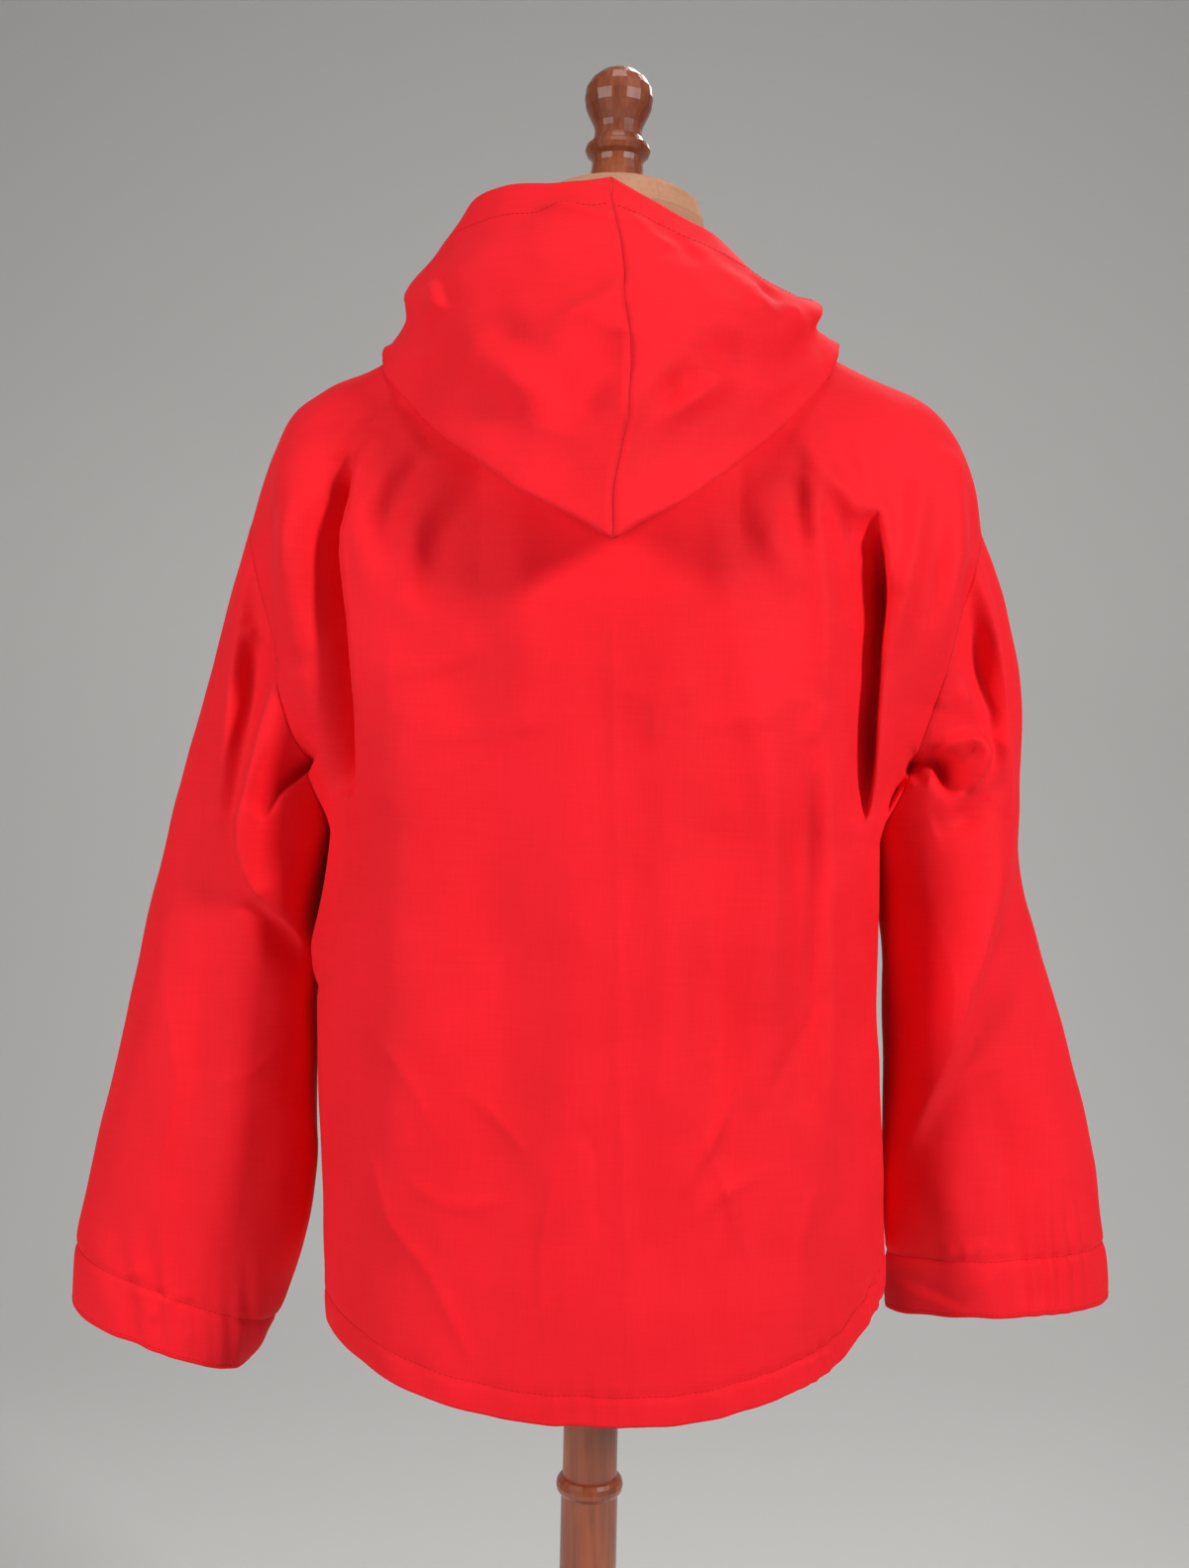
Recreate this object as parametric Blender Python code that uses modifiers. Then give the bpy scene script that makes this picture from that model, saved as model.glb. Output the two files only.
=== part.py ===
"""A hooded anorak pullover, hood down, on a limbless dress form with a turned wooden stand.

Metres, +Z up. The origin is under the base on the pole's axis. The garment's back faces -Y, so the
wearer's left is at -X. Every cloth piece is a wall worked out from the tables of sizes below.
"""

import math

import bmesh
import bpy
import numpy as np

# Driving sizes
CLOTH = 0.0015  # the wall that stands for the poplin and its turned edges
SEAM = 0.0003  # between two pieces that are sewn together
NECK_WIDE = 0.083  # half the neckline across
NECK_BACK = 0.075  # the neckline behind the pole's axis
NECK_FRONT = 0.085  # the neckline before it
NECK_Z = {"back": 1.425, "side": 1.440, "front": 1.385}
UNDERARM_X = 0.190
UNDERARM_Z = 1.075
CHEST_DEEP = 0.144
CHEST_WIDE = 0.215
ARMHOLE_DEPTH = 0.065  # half the armhole, front to back
NECK_SHARE = 0.30  # the share of a panel's half width that runs up to the neckline
SLIT_LENGTH = 0.17  # of the centre-front opening
SLIT_GAP = 0.010  # its width at the neckline
RING_POWER = 2.6  # of the superellipse that a level section of the body follows
SHOULDER_POWER = 2.2  # of the curve that a panel follows up and over the shoulder
POLE_RADIUS = 0.0192
BASE_RADIUS = 0.195
BASE_HEIGHT = 0.035
FORM_TOP = 1.527
FORM_BOTTOM = 0.800
ROUND_STEPS = 28  # sides of a turned piece

# How finely the cloth is divided
NECK_COLUMNS = 6  # columns on each side of a panel's middle that run up to the neckline
SHOULDER_COLUMNS = 8  # and those that run up to the shoulder
PANEL_ROWS = 9  # rows from the hem to the underarm
ARMHOLE_ROWS = 9  # rows from the underarm to the shoulder
SLEEVE_ROWS = 12
HOOD_ROWS = 17


class Table:
    """Rows of sizes under named columns. The first column is the key that the rest follow."""

    def __init__(self, columns, *rows):
        values = np.array(rows, float).T
        self.key = values[0]
        self.columns = dict(zip(columns.split()[1:], values[1:]))

    def at(self, name, key):
        """A column's value at any key, on a smooth curve through the rows."""
        knots = self.key
        values = self.columns[name]
        slopes = np.gradient(values, knots)
        key = np.clip(key, knots[0], knots[-1])
        i = np.clip(np.searchsorted(knots, key, side="right") - 1, 0, len(knots) - 2)
        step = knots[i + 1] - knots[i]
        u = (key - knots[i]) / step
        start = (1 + 2 * u) * (1 - u) ** 2 * values[i] + u * (1 - u) ** 2 * step * slopes[i]
        end = u**2 * (3 - 2 * u) * values[i + 1] + u**2 * (u - 1) * step * slopes[i + 1]
        return start + end


# The body's half widths and depths at each height
BODY = Table(
    "height left right back front",
    (0.700, 0.1815, 0.2005, 0.150, 0.145),
    (0.740, 0.1835, 0.2005, 0.151, 0.147),
    (0.790, 0.1860, 0.1995, 0.151, 0.148),
    (0.830, 0.1880, 0.1980, 0.150, 0.148),
    (0.900, 0.1940, 0.1965, 0.148, 0.147),
    (0.960, 0.1950, 0.1925, 0.146, 0.146),
    (1.020, 0.1935, 0.1918, 0.145, 0.144),
    (1.075, 0.1900, 0.1900, 0.144, 0.142),
)

# The hem's height, from the left side seam (-1) through the middle (0) to the right one (1)
HEM = Table(
    "across back front",
    (-1.00, 0.7560, 0.7560),
    (-0.80, 0.7480, 0.7490),
    (-0.60, 0.7385, 0.7400),
    (-0.40, 0.7250, 0.7265),
    (-0.20, 0.7160, 0.7180),
    (0.00, 0.7126, 0.7160),
    (0.25, 0.7200, 0.7215),
    (0.42, 0.7290, 0.7300),
    (0.55, 0.7415, 0.7425),
    (0.69, 0.7620, 0.7630),
    (0.80, 0.7760, 0.7765),
    (1.00, 0.7860, 0.7860),
)

# The shoulder line from the neck point (0) to the top of the armhole (1)
SHOULDER = Table(
    "along left_x left_z right_x right_z",
    (0.00, 0.0830, 1.4400, 0.0830, 1.4400),
    (0.20, 0.1240, 1.4195, 0.1220, 1.4250),
    (0.41, 0.1705, 1.3960, 0.1630, 1.4070),
    (0.55, 0.2010, 1.3820, 0.1920, 1.3940),
    (0.66, 0.2215, 1.3680, 0.2200, 1.3810),
    (0.77, 0.2340, 1.3430, 0.2400, 1.3600),
    (0.88, 0.2425, 1.3180, 0.2530, 1.3310),
    (1.00, 0.2500, 1.2910, 0.2596, 1.2920),
)

# Each sleeve's sections from the armhole (0) to the cuff (1): the places of the outer and inner
# edges, how far the section's middle sits forward, and its half depth
SLEEVE_COLUMNS = "along outer_x outer_z inner_x inner_z forward depth"
SLEEVES = {
    "left": Table(
        SLEEVE_COLUMNS,
        (0.00, 0.2500, 1.2910, 0.1900, 1.0750, 0.000, 0.065),
        (0.12, 0.2660, 1.2330, 0.1970, 1.0350, 0.004, 0.064),
        (0.28, 0.2880, 1.1550, 0.1995, 0.9850, 0.010, 0.062),
        (0.42, 0.3050, 1.0860, 0.2000, 0.9350, 0.014, 0.060),
        (0.56, 0.3220, 1.0180, 0.2000, 0.8850, 0.016, 0.058),
        (0.72, 0.3420, 0.9220, 0.1995, 0.8250, 0.016, 0.055),
        (0.86, 0.3600, 0.8270, 0.2110, 0.7650, 0.014, 0.050),
        (0.95, 0.3690, 0.7730, 0.2310, 0.7150, 0.012, 0.046),
        (1.00, 0.3700, 0.7360, 0.2460, 0.6920, 0.012, 0.044),
    ),
    "right": Table(
        SLEEVE_COLUMNS,
        (0.00, 0.2596, 1.2920, 0.1900, 1.0750, 0.000, 0.065),
        (0.12, 0.2800, 1.2400, 0.1975, 1.0350, 0.004, 0.064),
        (0.26, 0.2935, 1.1800, 0.2010, 0.9850, 0.008, 0.062),
        (0.40, 0.2950, 1.1150, 0.2020, 0.9400, 0.010, 0.060),
        (0.52, 0.2960, 1.0600, 0.2030, 0.9050, 0.010, 0.058),
        (0.64, 0.3110, 1.0050, 0.2040, 0.8700, 0.010, 0.056),
        (0.80, 0.3340, 0.9280, 0.2050, 0.8250, 0.008, 0.052),
        (0.92, 0.3560, 0.8330, 0.2070, 0.7850, 0.006, 0.046),
        (1.00, 0.3645, 0.7560, 0.2100, 0.7450, 0.005, 0.042),
    ),
}

# The hood by the angle round the neck, from the centre back (0) to the front (180 degrees): the
# places of its lower fold, of the middle of its outer layer and of its face edge
HOOD_SIZES = "angle fold_x fold_y fold_z outer_x outer_y outer_z edge_x edge_y edge_z"
HOODS = {
    "left": Table(
        HOOD_SIZES,
        (0, 0.000, -0.198, 1.254, 0.000, -0.172, 1.385, 0.000, -0.080, 1.510),
        (25, 0.066, -0.170, 1.293, 0.064, -0.150, 1.400, 0.036, -0.082, 1.505),
        (50, 0.118, -0.118, 1.337, 0.108, -0.110, 1.415, 0.078, -0.068, 1.506),
        (75, 0.156, -0.050, 1.386, 0.141, -0.050, 1.440, 0.104, -0.030, 1.500),
        (100, 0.156, 0.015, 1.418, 0.142, 0.012, 1.452, 0.104, 0.018, 1.474),
        (130, 0.110, 0.082, 1.412, 0.098, 0.078, 1.440, 0.076, 0.066, 1.440),
        (155, 0.052, 0.116, 1.401, 0.047, 0.112, 1.418, 0.037, 0.096, 1.414),
        (180, 0.009, 0.116, 1.396, 0.008, 0.114, 1.408, 0.007, 0.101, 1.404),
    ),
    "right": Table(
        HOOD_SIZES,
        (0, 0.000, -0.198, 1.254, 0.000, -0.172, 1.385, 0.000, -0.080, 1.510),
        (25, 0.060, -0.168, 1.295, 0.060, -0.150, 1.400, 0.035, -0.082, 1.489),
        (50, 0.110, -0.116, 1.340, 0.106, -0.106, 1.412, 0.068, -0.071, 1.473),
        (75, 0.150, -0.052, 1.392, 0.140, -0.046, 1.436, 0.105, -0.031, 1.456),
        (100, 0.152, 0.015, 1.425, 0.140, 0.014, 1.452, 0.108, 0.018, 1.460),
        (130, 0.108, 0.082, 1.414, 0.097, 0.078, 1.440, 0.076, 0.066, 1.440),
        (155, 0.052, 0.116, 1.401, 0.047, 0.112, 1.418, 0.037, 0.096, 1.414),
        (180, 0.009, 0.116, 1.396, 0.008, 0.114, 1.408, 0.007, 0.101, 1.404),
    ),
}
HOOD_END = 180  # degrees round from the centre back
HOOD_STAND = 0.020  # how far the hood rises from the neckline before it turns over
HOOD_FLARE = 0.006
HOOD_LOFT = 0.008  # half the thickness of the lower fold
HOOD_CLEAR = 0.005  # between the hood's under layer and the shoulders
HOOD_RISE = 0.012  # how much further off the outer layer stays

# The largest folds of the back and of the sleeves' backs: a soft ridge (or a trough, where the
# height is below zero) from one place to another, seen from behind
FOLDS = Table(
    "number x1 z1 x2 z2 wide height",
    (1, -0.150, 1.310, -0.168, 0.960, 0.020, 0.008),
    (2, -0.192, 1.290, -0.180, 1.090, 0.012, -0.008),
    (3, -0.085, 1.200, -0.070, 0.760, 0.030, -0.006),
    (4, 0.030, 1.180, 0.035, 0.760, 0.026, 0.004),
    (5, 0.085, 1.300, 0.120, 0.800, 0.018, 0.006),
    (6, 0.148, 1.330, 0.145, 0.900, 0.014, 0.007),
    (7, 0.188, 1.280, 0.176, 1.090, 0.012, -0.009),
    (8, -0.240, 1.180, -0.245, 1.040, 0.020, 0.010),
    (9, 0.272, 1.060, 0.225, 0.880, 0.020, 0.010),
)

# The form's half width and its depth behind and before the pole's axis, at each height
FORM = Table(
    "height wide back front",
    (FORM_BOTTOM, 0.138, 0.100, 0.098),
    (0.806, 0.150, 0.109, 0.107),
    (0.825, 0.157, 0.115, 0.112),
    (0.870, 0.158, 0.116, 0.113),
    (0.930, 0.148, 0.108, 0.106),
    (0.985, 0.144, 0.104, 0.103),
    (1.060, 0.152, 0.108, 0.110),
    (1.150, 0.166, 0.113, 0.121),
    (1.220, 0.178, 0.112, 0.122),
    (1.285, 0.193, 0.105, 0.112),
    (1.335, 0.202, 0.090, 0.094),
    (1.364, 0.198, 0.074, 0.074),
    (1.386, 0.181, 0.062, 0.060),
    (1.403, 0.149, 0.056, 0.052),
    (1.417, 0.117, 0.053, 0.049),
    (1.429, 0.092, 0.053, 0.050),
    (1.442, 0.075, 0.055, 0.053),
    (1.455, 0.067, 0.059, 0.058),
    (1.475, 0.063, 0.061, 0.061),
    (1.505, 0.062, 0.062, 0.062),
    (1.518, 0.058, 0.058, 0.058),
    (1.525, 0.048, 0.048, 0.048),
    (FORM_TOP, 0.032, 0.032, 0.032),
)

# Turned profiles, as pairs of radius and height from the top down
FINIAL_PROFILE = (
    (0.0070, 1.6143),
    (0.0135, 1.6120),
    (0.0195, 1.6070),
    (0.0232, 1.6010),
    (0.0242, 1.5940),
    (0.0232, 1.5870),
    (0.0200, 1.5800),
    (0.0175, 1.5750),
    (0.0166, 1.5710),
    (0.0172, 1.5660),
    (0.0195, 1.5620),
    (0.0222, 1.5602),
    (0.0232, 1.5570),
    (0.0218, 1.5537),
    (0.0184, 1.5510),
    (0.0180, 1.5470),
    (0.0190, 1.5410),
    (0.0208, 1.5340),
    (0.0222, 1.5295),
)
FINIAL_TOP = 1.6150
BEAD_Z = 0.616
BEAD_RADIUS = 0.0237
BEAD_HALF = 0.0065
LOWER_POLE_RADIUS = 0.0200
BASE_EDGE = ((0.170, 0.035), (0.184, 0.033), (0.192, 0.027), (0.195, 0.018), (0.195, 0.003))


def quarter(power, wide, deep):
    """How a section's place across (0 to 1) and its depth (1 to 0) go with the share of its length."""
    angle = np.linspace(0, math.pi / 2, 400)
    across = np.sin(angle) ** (2 / power)
    depth = np.cos(angle) ** (2 / power)
    length = np.concatenate([[0], np.cumsum(np.hypot(np.diff(across) * wide, np.diff(depth) * deep))])
    return length / length[-1], across, depth


SHARE, ACROSS, DEPTH = quarter(RING_POWER, UNDERARM_X, CHEST_DEEP)


def neckline(angle):
    """The neckline at an angle in degrees round from the centre back, on the right-hand side."""
    turn = np.radians(angle)
    front = np.cos(turn) < 0
    y = -np.cos(turn) * np.where(front, NECK_FRONT, NECK_BACK)
    low = np.where(front, NECK_Z["front"], NECK_Z["back"])
    z = low + (NECK_Z["side"] - low) * np.sin(turn) ** 2
    x = np.maximum(NECK_WIDE * np.sin(turn), np.where(front, SLIT_GAP / 2, 0))
    return np.stack([x, y, z], axis=-1)


def folded(points):
    """The points moved out by the largest folds, on the sides that face back."""
    x, y, z = points[..., 0], points[..., 1], points[..., 2]
    rise = np.zeros_like(x)
    for i in range(len(FOLDS.key)):
        fold = {name: values[i] for name, values in FOLDS.columns.items()}
        run = np.array([fold["x2"] - fold["x1"], fold["z2"] - fold["z1"]])
        along = ((x - fold["x1"]) * run[0] + (z - fold["z1"]) * run[1]) / (run @ run)
        off = np.abs((x - fold["x1"]) * run[1] - (z - fold["z1"]) * run[0]) / np.linalg.norm(run)
        ends = np.sin(math.pi * np.clip(along, 0, 1)) ** 0.6
        rise += fold["height"] * ends * np.exp(-((off / fold["wide"]) ** 2))
    faces_back = np.clip((0.01 - y) / 0.05, 0, 1)
    moved = points.copy()
    moved[..., 1] -= rise * faces_back
    return moved


def panel_points(face, across, rows_low, rows_high):
    """A body panel as rows of points: the low rows reach the underarm, the high ones the shoulder."""
    side = np.where(across < 0, -1, 1)
    share = np.abs(across)
    unit_x = np.interp(share, SHARE, ACROSS)
    unit_y = np.interp(share, SHARE, DEPTH)
    name = {-1: "back", 1: "front"}[face]
    hem = HEM.at(name, across)

    def level(z):
        wide = np.where(side < 0, BODY.at("left", z), BODY.at("right", z))
        return side * wide * unit_x, face * BODY.at(name, z) * unit_y

    rows = []
    for t in rows_low:
        z = hem + (UNDERARM_Z - hem) * t
        x, y = level(z)
        rows.append(np.stack([x, y, z], axis=-1))

    along = np.clip((share - NECK_SHARE) / (1 - NECK_SHARE), 0, 1)
    top_x = np.where(side < 0, SHOULDER.at("left_x", along), SHOULDER.at("right_x", along))
    top_z = np.where(side < 0, SHOULDER.at("left_z", along), SHOULDER.at("right_z", along))
    angle = np.clip(share / NECK_SHARE, 0, 1) * 90
    neck = neckline(angle if face < 0 else 180 - angle)
    neck[share == 0, 0] = 0
    at_neck = share < NECK_SHARE
    top_x = np.where(at_neck, neck[:, 0], top_x)
    top_y = np.where(at_neck, neck[:, 1], 0.0)
    top_z = np.where(at_neck, neck[:, 2], top_z)
    low_x, low_y = level(UNDERARM_Z + 0 * across)
    for t in rows_high:
        round_armhole = (1 - math.cos(math.pi * t)) / 2
        up = unit_y * math.sin(math.pi / 2 * t) + (1 - unit_y) * round_armhole
        over = (1 - np.clip(up, 0, 1) ** SHOULDER_POWER) ** (1 / SHOULDER_POWER)
        x = low_x + (side * top_x - low_x) * round_armhole
        y = top_y + (low_y - top_y) * over
        y += (1 - unit_y) * face * ARMHOLE_DEPTH * math.sin(math.pi * t)
        rows.append(np.stack([x, y, UNDERARM_Z + (top_z - UNDERARM_Z) * up], axis=-1))
    return folded(np.array(rows))


def sleeve_points(name, along, angle):
    """A sleeve as rows of points round it, from the armhole to the cuff. Angle 0 is its outer edge."""
    side = {"left": -1, "right": 1}[name]
    sizes = SLEEVES[name]
    along = along[:, None]
    outer = np.stack([sizes.at("outer_x", along), sizes.at("outer_z", along)])
    inner = np.stack([sizes.at("inner_x", along), sizes.at("inner_z", along)])
    x, z = (outer + inner) / 2 + (outer - inner) / 2 * np.cos(angle)
    y = sizes.at("forward", along) - sizes.at("depth", along) * np.sin(angle)
    return folded(np.stack([side * x, y, z], axis=-1))


def shoulder_height(x, y):
    """The height of the body's cloth near the neck, over the form's shoulders."""
    share = np.abs(x)
    seam = np.linspace(0, 1, 60)
    left, right = (
        np.interp(share, SHOULDER.at(f"{side}_x", seam), SHOULDER.at(f"{side}_z", seam))
        for side in ("left", "right")
    )
    top = np.where(x < 0, left, right)
    within = np.sqrt(np.clip(1 - (share / NECK_WIDE) ** 2, 0, 1))
    edge = within * np.where(y < 0, NECK_BACK, NECK_FRONT)
    low = np.where(y < 0, NECK_Z["back"], NECK_Z["front"])
    top = np.where(share < NECK_WIDE, low + (NECK_Z["side"] - low) * (1 - within**2), top)
    deep = CHEST_DEEP * np.clip(1 - (share / CHEST_WIDE) ** RING_POWER, 0.01, 1) ** (1 / RING_POWER)
    over = np.clip((np.abs(y) - edge) / (deep - edge), 0, 1)
    up = (1 - over**SHOULDER_POWER) ** (1 / SHOULDER_POWER)
    return UNDERARM_Z + (top - UNDERARM_Z) * up


def through(points, count):
    """Points evenly along smooth curves through the given ones, which lie along the first axis."""
    steps = np.linalg.norm(np.diff(points[:, 0], axis=0), axis=-1)
    keys = np.concatenate([[0], np.cumsum(np.sqrt(steps))])
    curve = Table("key value", *zip(keys, keys))
    fine = np.linspace(0, keys[-1], 40 * len(points))
    line = np.empty((len(fine),) + points.shape[1:])
    for index in np.ndindex(points.shape[1:]):
        curve.columns["value"] = points[(slice(None),) + index]
        line[(slice(None),) + index] = curve.at("value", fine)
    result = np.empty((count,) + points.shape[1:])
    for i in range(points.shape[1]):
        length = np.concatenate([[0], np.cumsum(np.linalg.norm(np.diff(line[:, i], axis=0), axis=1))])
        for axis in range(3):
            result[:, i, axis] = np.interp(np.linspace(0, length[-1], count), length, line[:, i, axis])
    return result


def hood_points(name, angle, count):
    """A hood half as rows of points from the neckline, round the lower fold, to the face edge."""
    side = {"left": -1, "right": 1}[name]
    sizes = HOODS[name]
    fold, outer, edge = (
        np.stack([sizes.at(f"{place}_{axis}", angle) for axis in "xyz"], axis=-1)
        for place in ("fold", "outer", "edge")
    )
    start = neckline(angle)
    shrink = np.clip((HOOD_END - angle) / 60, 0.35, 1)[:, None]
    outward = start * (1, 1, 0)
    outward /= np.linalg.norm(outward, axis=1, keepdims=True)
    up = np.array([0, 0, 1.0])
    stand = start + shrink * (HOOD_STAND * up + HOOD_FLARE * outward)
    inward = (start + edge) / 2 - fold
    reach = np.linalg.norm(inward, axis=1, keepdims=True)
    inward /= reach
    across = np.stack([np.cos(np.radians(angle)), np.sin(np.radians(angle)), 0 * angle], axis=-1)
    off = np.cross(inward, across)
    off *= np.sign((off * outward).sum(axis=1, keepdims=True) + 1e-9)
    back = np.minimum(0.03, reach * 0.3) * inward
    under = (stand + fold) / 2
    lines = [start, stand, under, fold + back - HOOD_LOFT * shrink * off, fold]
    lines += [fold + back + HOOD_LOFT * shrink * off, outer, edge]
    rows = through(np.array(lines), count)
    rows[..., 0] *= side
    clear = HOOD_CLEAR + HOOD_RISE * np.linspace(0, 1, count)[:, None] * np.clip(shrink[:, 0], 0, 1)
    lowest = shoulder_height(rows[..., 0], rows[..., 1]) + clear
    started = np.clip(np.arange(count) / 3, 0, 1)[:, None]
    rows[..., 2] = np.maximum(rows[..., 2], lowest * started + rows[..., 2] * (1 - started))
    return rows


def grid(rows, columns, closed=False, flipped=False):
    """The faces of a grid of points, with its rows one after another in the list of points."""
    faces = []
    for r in range(rows - 1):
        for c in range(columns if closed else columns - 1):
            d = (c + 1) % columns
            face = (r * columns + c, r * columns + d, (r + 1) * columns + d, (r + 1) * columns + c)
            faces.append(face[::-1] if flipped else face)
    return faces


def with_slit(points, faces, columns, face_rows):
    """The front cut open down its middle column, from the neckline to the slit's foot."""
    middle = columns // 2
    points = list(points)
    copies = {}
    for row in face_rows:
        index = row * columns + middle
        copies[index] = len(points)
        points.append(points[index].copy())
    top = points[face_rows[-1] * columns + middle]
    foot = points[(face_rows[0] - 1) * columns + middle]
    for index, copy in copies.items():
        open_by = SLIT_GAP / 2 * (points[index][2] - foot[2]) / (top[2] - foot[2])
        points[index] = points[index] - (open_by, 0, 0)
        points[copy] = points[copy] + (open_by, 0, 0)
    cut = []
    for face in faces:
        right = max(i % columns for i in face) > middle
        cut.append(tuple(copies.get(i, i) if right else i for i in face))
    return np.array(points), cut


def normals_of(points, faces):
    """The direction out of the cloth at each point, the mean of the faces there."""
    out = np.zeros_like(points)
    for face in faces:
        a, b, c, d = (points[i] for i in face)
        out[list(face)] += np.cross(c - a, d - b)
    return out / np.linalg.norm(out, axis=1, keepdims=True)


def place(point):
    """A point's name, the same for pieces that share it."""
    return tuple(int(round(v * 20000)) for v in point)


def free_edges(faces):
    """The edges with a face on one side only, each in its face's direction."""
    edges = {(a, b) for face in faces for a, b in zip(face, face[1:] + face[:1])}
    return [(a, b) for a, b in sorted(edges) if (b, a) not in edges]


def cloth_wall(name, points, faces, shared, material):
    """A closed wall: the faces, drawn back from their seams, a copy inside them, and a rim."""
    own = normals_of(points, faces)
    out = own.copy()
    edges = free_edges(faces)
    for index in {i for edge in edges for i in edge}:
        mean = shared[place(points[index])]
        mean = mean / np.linalg.norm(mean)
        if mean @ own[index] > 0.3:
            out[index] = mean
    inward = {}
    for a, b in edges:
        direction = np.cross(out[a] + out[b], points[b] - points[a])
        direction /= np.linalg.norm(direction)
        inward.setdefault(a, []).append(direction)
        inward.setdefault(b, []).append(direction)
    drawn = points.copy()
    for index, (one, two) in inward.items():
        drawn[index] += SEAM * 0.55 * (one + two) / max(1 + one @ two, 0.5)
    inside = drawn - CLOTH * out
    count = len(points)
    walls = list(faces) + [tuple(i + count for i in face[::-1]) for face in faces]
    walls += [(b, a, a + count, b + count) for a, b in edges]
    mesh = bpy.data.meshes.new(name)
    mesh.from_pydata(np.vstack([drawn, inside]).tolist(), [], walls)
    mesh.shade_smooth()
    return add(name, mesh, material)


def add(name, mesh, material):
    obj = bpy.data.objects.new(name, mesh)
    obj.data.materials.append(material)
    bpy.data.collections["anorak_on_form"].objects.link(obj)
    return obj


def finish(name, colour, roughness):
    """A plain material with one colour."""
    material = bpy.data.materials.new(name)
    material.use_nodes = True
    shader = material.node_tree.nodes["Principled BSDF"]
    shader.inputs["Base Color"].default_value = (*colour, 1)
    shader.inputs["Roughness"].default_value = roughness
    shader.inputs["Metallic"].default_value = 0.0
    return material


def make_garment(poplin):
    """The six cloth pieces, whose seams share their points before they are drawn apart."""
    neck = np.linspace(0, NECK_SHARE, NECK_COLUMNS + 1)
    right = np.concatenate([neck, np.linspace(NECK_SHARE, 1, SHOULDER_COLUMNS + 1)[1:]])
    across = np.concatenate([-right[:0:-1], right])
    low = np.linspace(0, 1, PANEL_ROWS + 1)[:-1]
    high = np.linspace(0, 1, ARMHOLE_ROWS + 1)
    rows = PANEL_ROWS + ARMHOLE_ROWS + 1
    columns = len(across)
    pieces = {}
    back = panel_points(-1, across, low, high)
    pieces["back_panel"] = (back.reshape(-1, 3), grid(rows, columns))
    front = panel_points(1, across, low, high)
    faces = grid(rows, columns, flipped=True)
    middle = front[:, columns // 2]
    cut_rows = [r for r in range(rows) if middle[r, 2] > middle[-1, 2] - SLIT_LENGTH]
    pieces["front_panel"] = with_slit(front.reshape(-1, 3), faces, columns, cut_rows)
    angle = np.arange(2 * ARMHOLE_ROWS) * math.pi / ARMHOLE_ROWS
    for name in ("left", "right"):
        points = sleeve_points(name, np.linspace(0, 1, SLEEVE_ROWS + 1), angle)
        faces = grid(SLEEVE_ROWS + 1, len(angle), closed=True, flipped=name == "left")
        pieces[f"sleeve_{name}"] = (points.reshape(-1, 3), faces)
    for name in ("left", "right"):
        points = hood_points(name, np.linspace(0, HOOD_END, 2 * NECK_COLUMNS + 1), HOOD_ROWS + 1)
        faces = grid(HOOD_ROWS + 1, 2 * NECK_COLUMNS + 1, flipped=name == "left")
        pieces[f"hood_{name}"] = (points.reshape(-1, 3), faces)
    shared = {}
    for points, faces in pieces.values():
        out = normals_of(points, faces)
        for index in {i for edge in free_edges(faces) for i in edge}:
            key = place(points[index])
            shared[key] = shared.get(key, 0) + out[index]
    for name, (points, faces) in pieces.items():
        cloth_wall(name, points, faces, shared, poplin)


def make_form(linen):
    """The torso and neck: level sections lofted and closed with a flat face below and on top."""
    angle = np.arange(ROUND_STEPS) * 2 * math.pi / ROUND_STEPS
    mesh = bpy.data.meshes.new("form")
    bm = bmesh.new()
    rings = []
    for z in FORM.key:
        ring = []
        for turn in angle:
            deep = FORM.at("back" if math.sin(turn) < 0 else "front", z)
            ring.append(bm.verts.new((FORM.at("wide", z) * math.cos(turn), deep * math.sin(turn), z)))
        rings.append(ring)
    for low, high in zip(rings, rings[1:]):
        for i in range(ROUND_STEPS):
            j = (i + 1) % ROUND_STEPS
            bm.faces.new((low[i], low[j], high[j], high[i]))
    bm.faces.new(rings[0][::-1])
    bm.faces.new(rings[-1])
    bm.to_mesh(mesh)
    bm.free()
    mesh.shade_smooth()
    mesh.set_sharp_from_angle(angle=math.radians(40))
    return add("form", mesh, linen)


def turned(name, profile, wood):
    """A turned piece: its profile, from the top of the axis down to its foot, spun with a Screw."""
    mesh = bpy.data.meshes.new(name)
    points = [(radius, 0, z) for radius, z in profile]
    mesh.from_pydata(points, [(i, i + 1) for i in range(len(points) - 1)], [])
    piece = add(name, mesh, wood)
    screw = piece.modifiers.new("Turned", "SCREW")
    screw.steps = ROUND_STEPS
    screw.render_steps = ROUND_STEPS
    screw.use_merge_vertices = True
    screw.merge_threshold = 0.0001
    screw.use_smooth_shade = True
    return piece


def bead(z, half, radius, below, above):
    """The profile of a turned bead, from its top down."""
    steps = [math.pi * i / 6 for i in range(7)]
    points = [(above, z + half)]
    points += [(above + (radius - above) * math.sin(t), z + half * math.cos(t)) for t in steps[1:-1]]
    return points + [(below, z - half)]


def make_stand(wood):
    finial = [(0, FINIAL_TOP), *FINIAL_PROFILE, (0.0218, FORM_TOP + SEAM), (0, FORM_TOP + SEAM)]
    turned("finial", finial, wood)
    pole_top = FORM_BOTTOM - SEAM
    pole = [(0, pole_top), (POLE_RADIUS, pole_top)]
    pole += bead(BEAD_Z, BEAD_HALF, BEAD_RADIUS, LOWER_POLE_RADIUS, POLE_RADIUS)
    pole += [(LOWER_POLE_RADIUS, BASE_HEIGHT + SEAM), (0, BASE_HEIGHT + SEAM)]
    turned("pole", pole, wood)
    turned("base", [(0, BASE_HEIGHT), *BASE_EDGE, (0.192, 0), (0, 0)], wood)


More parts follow.
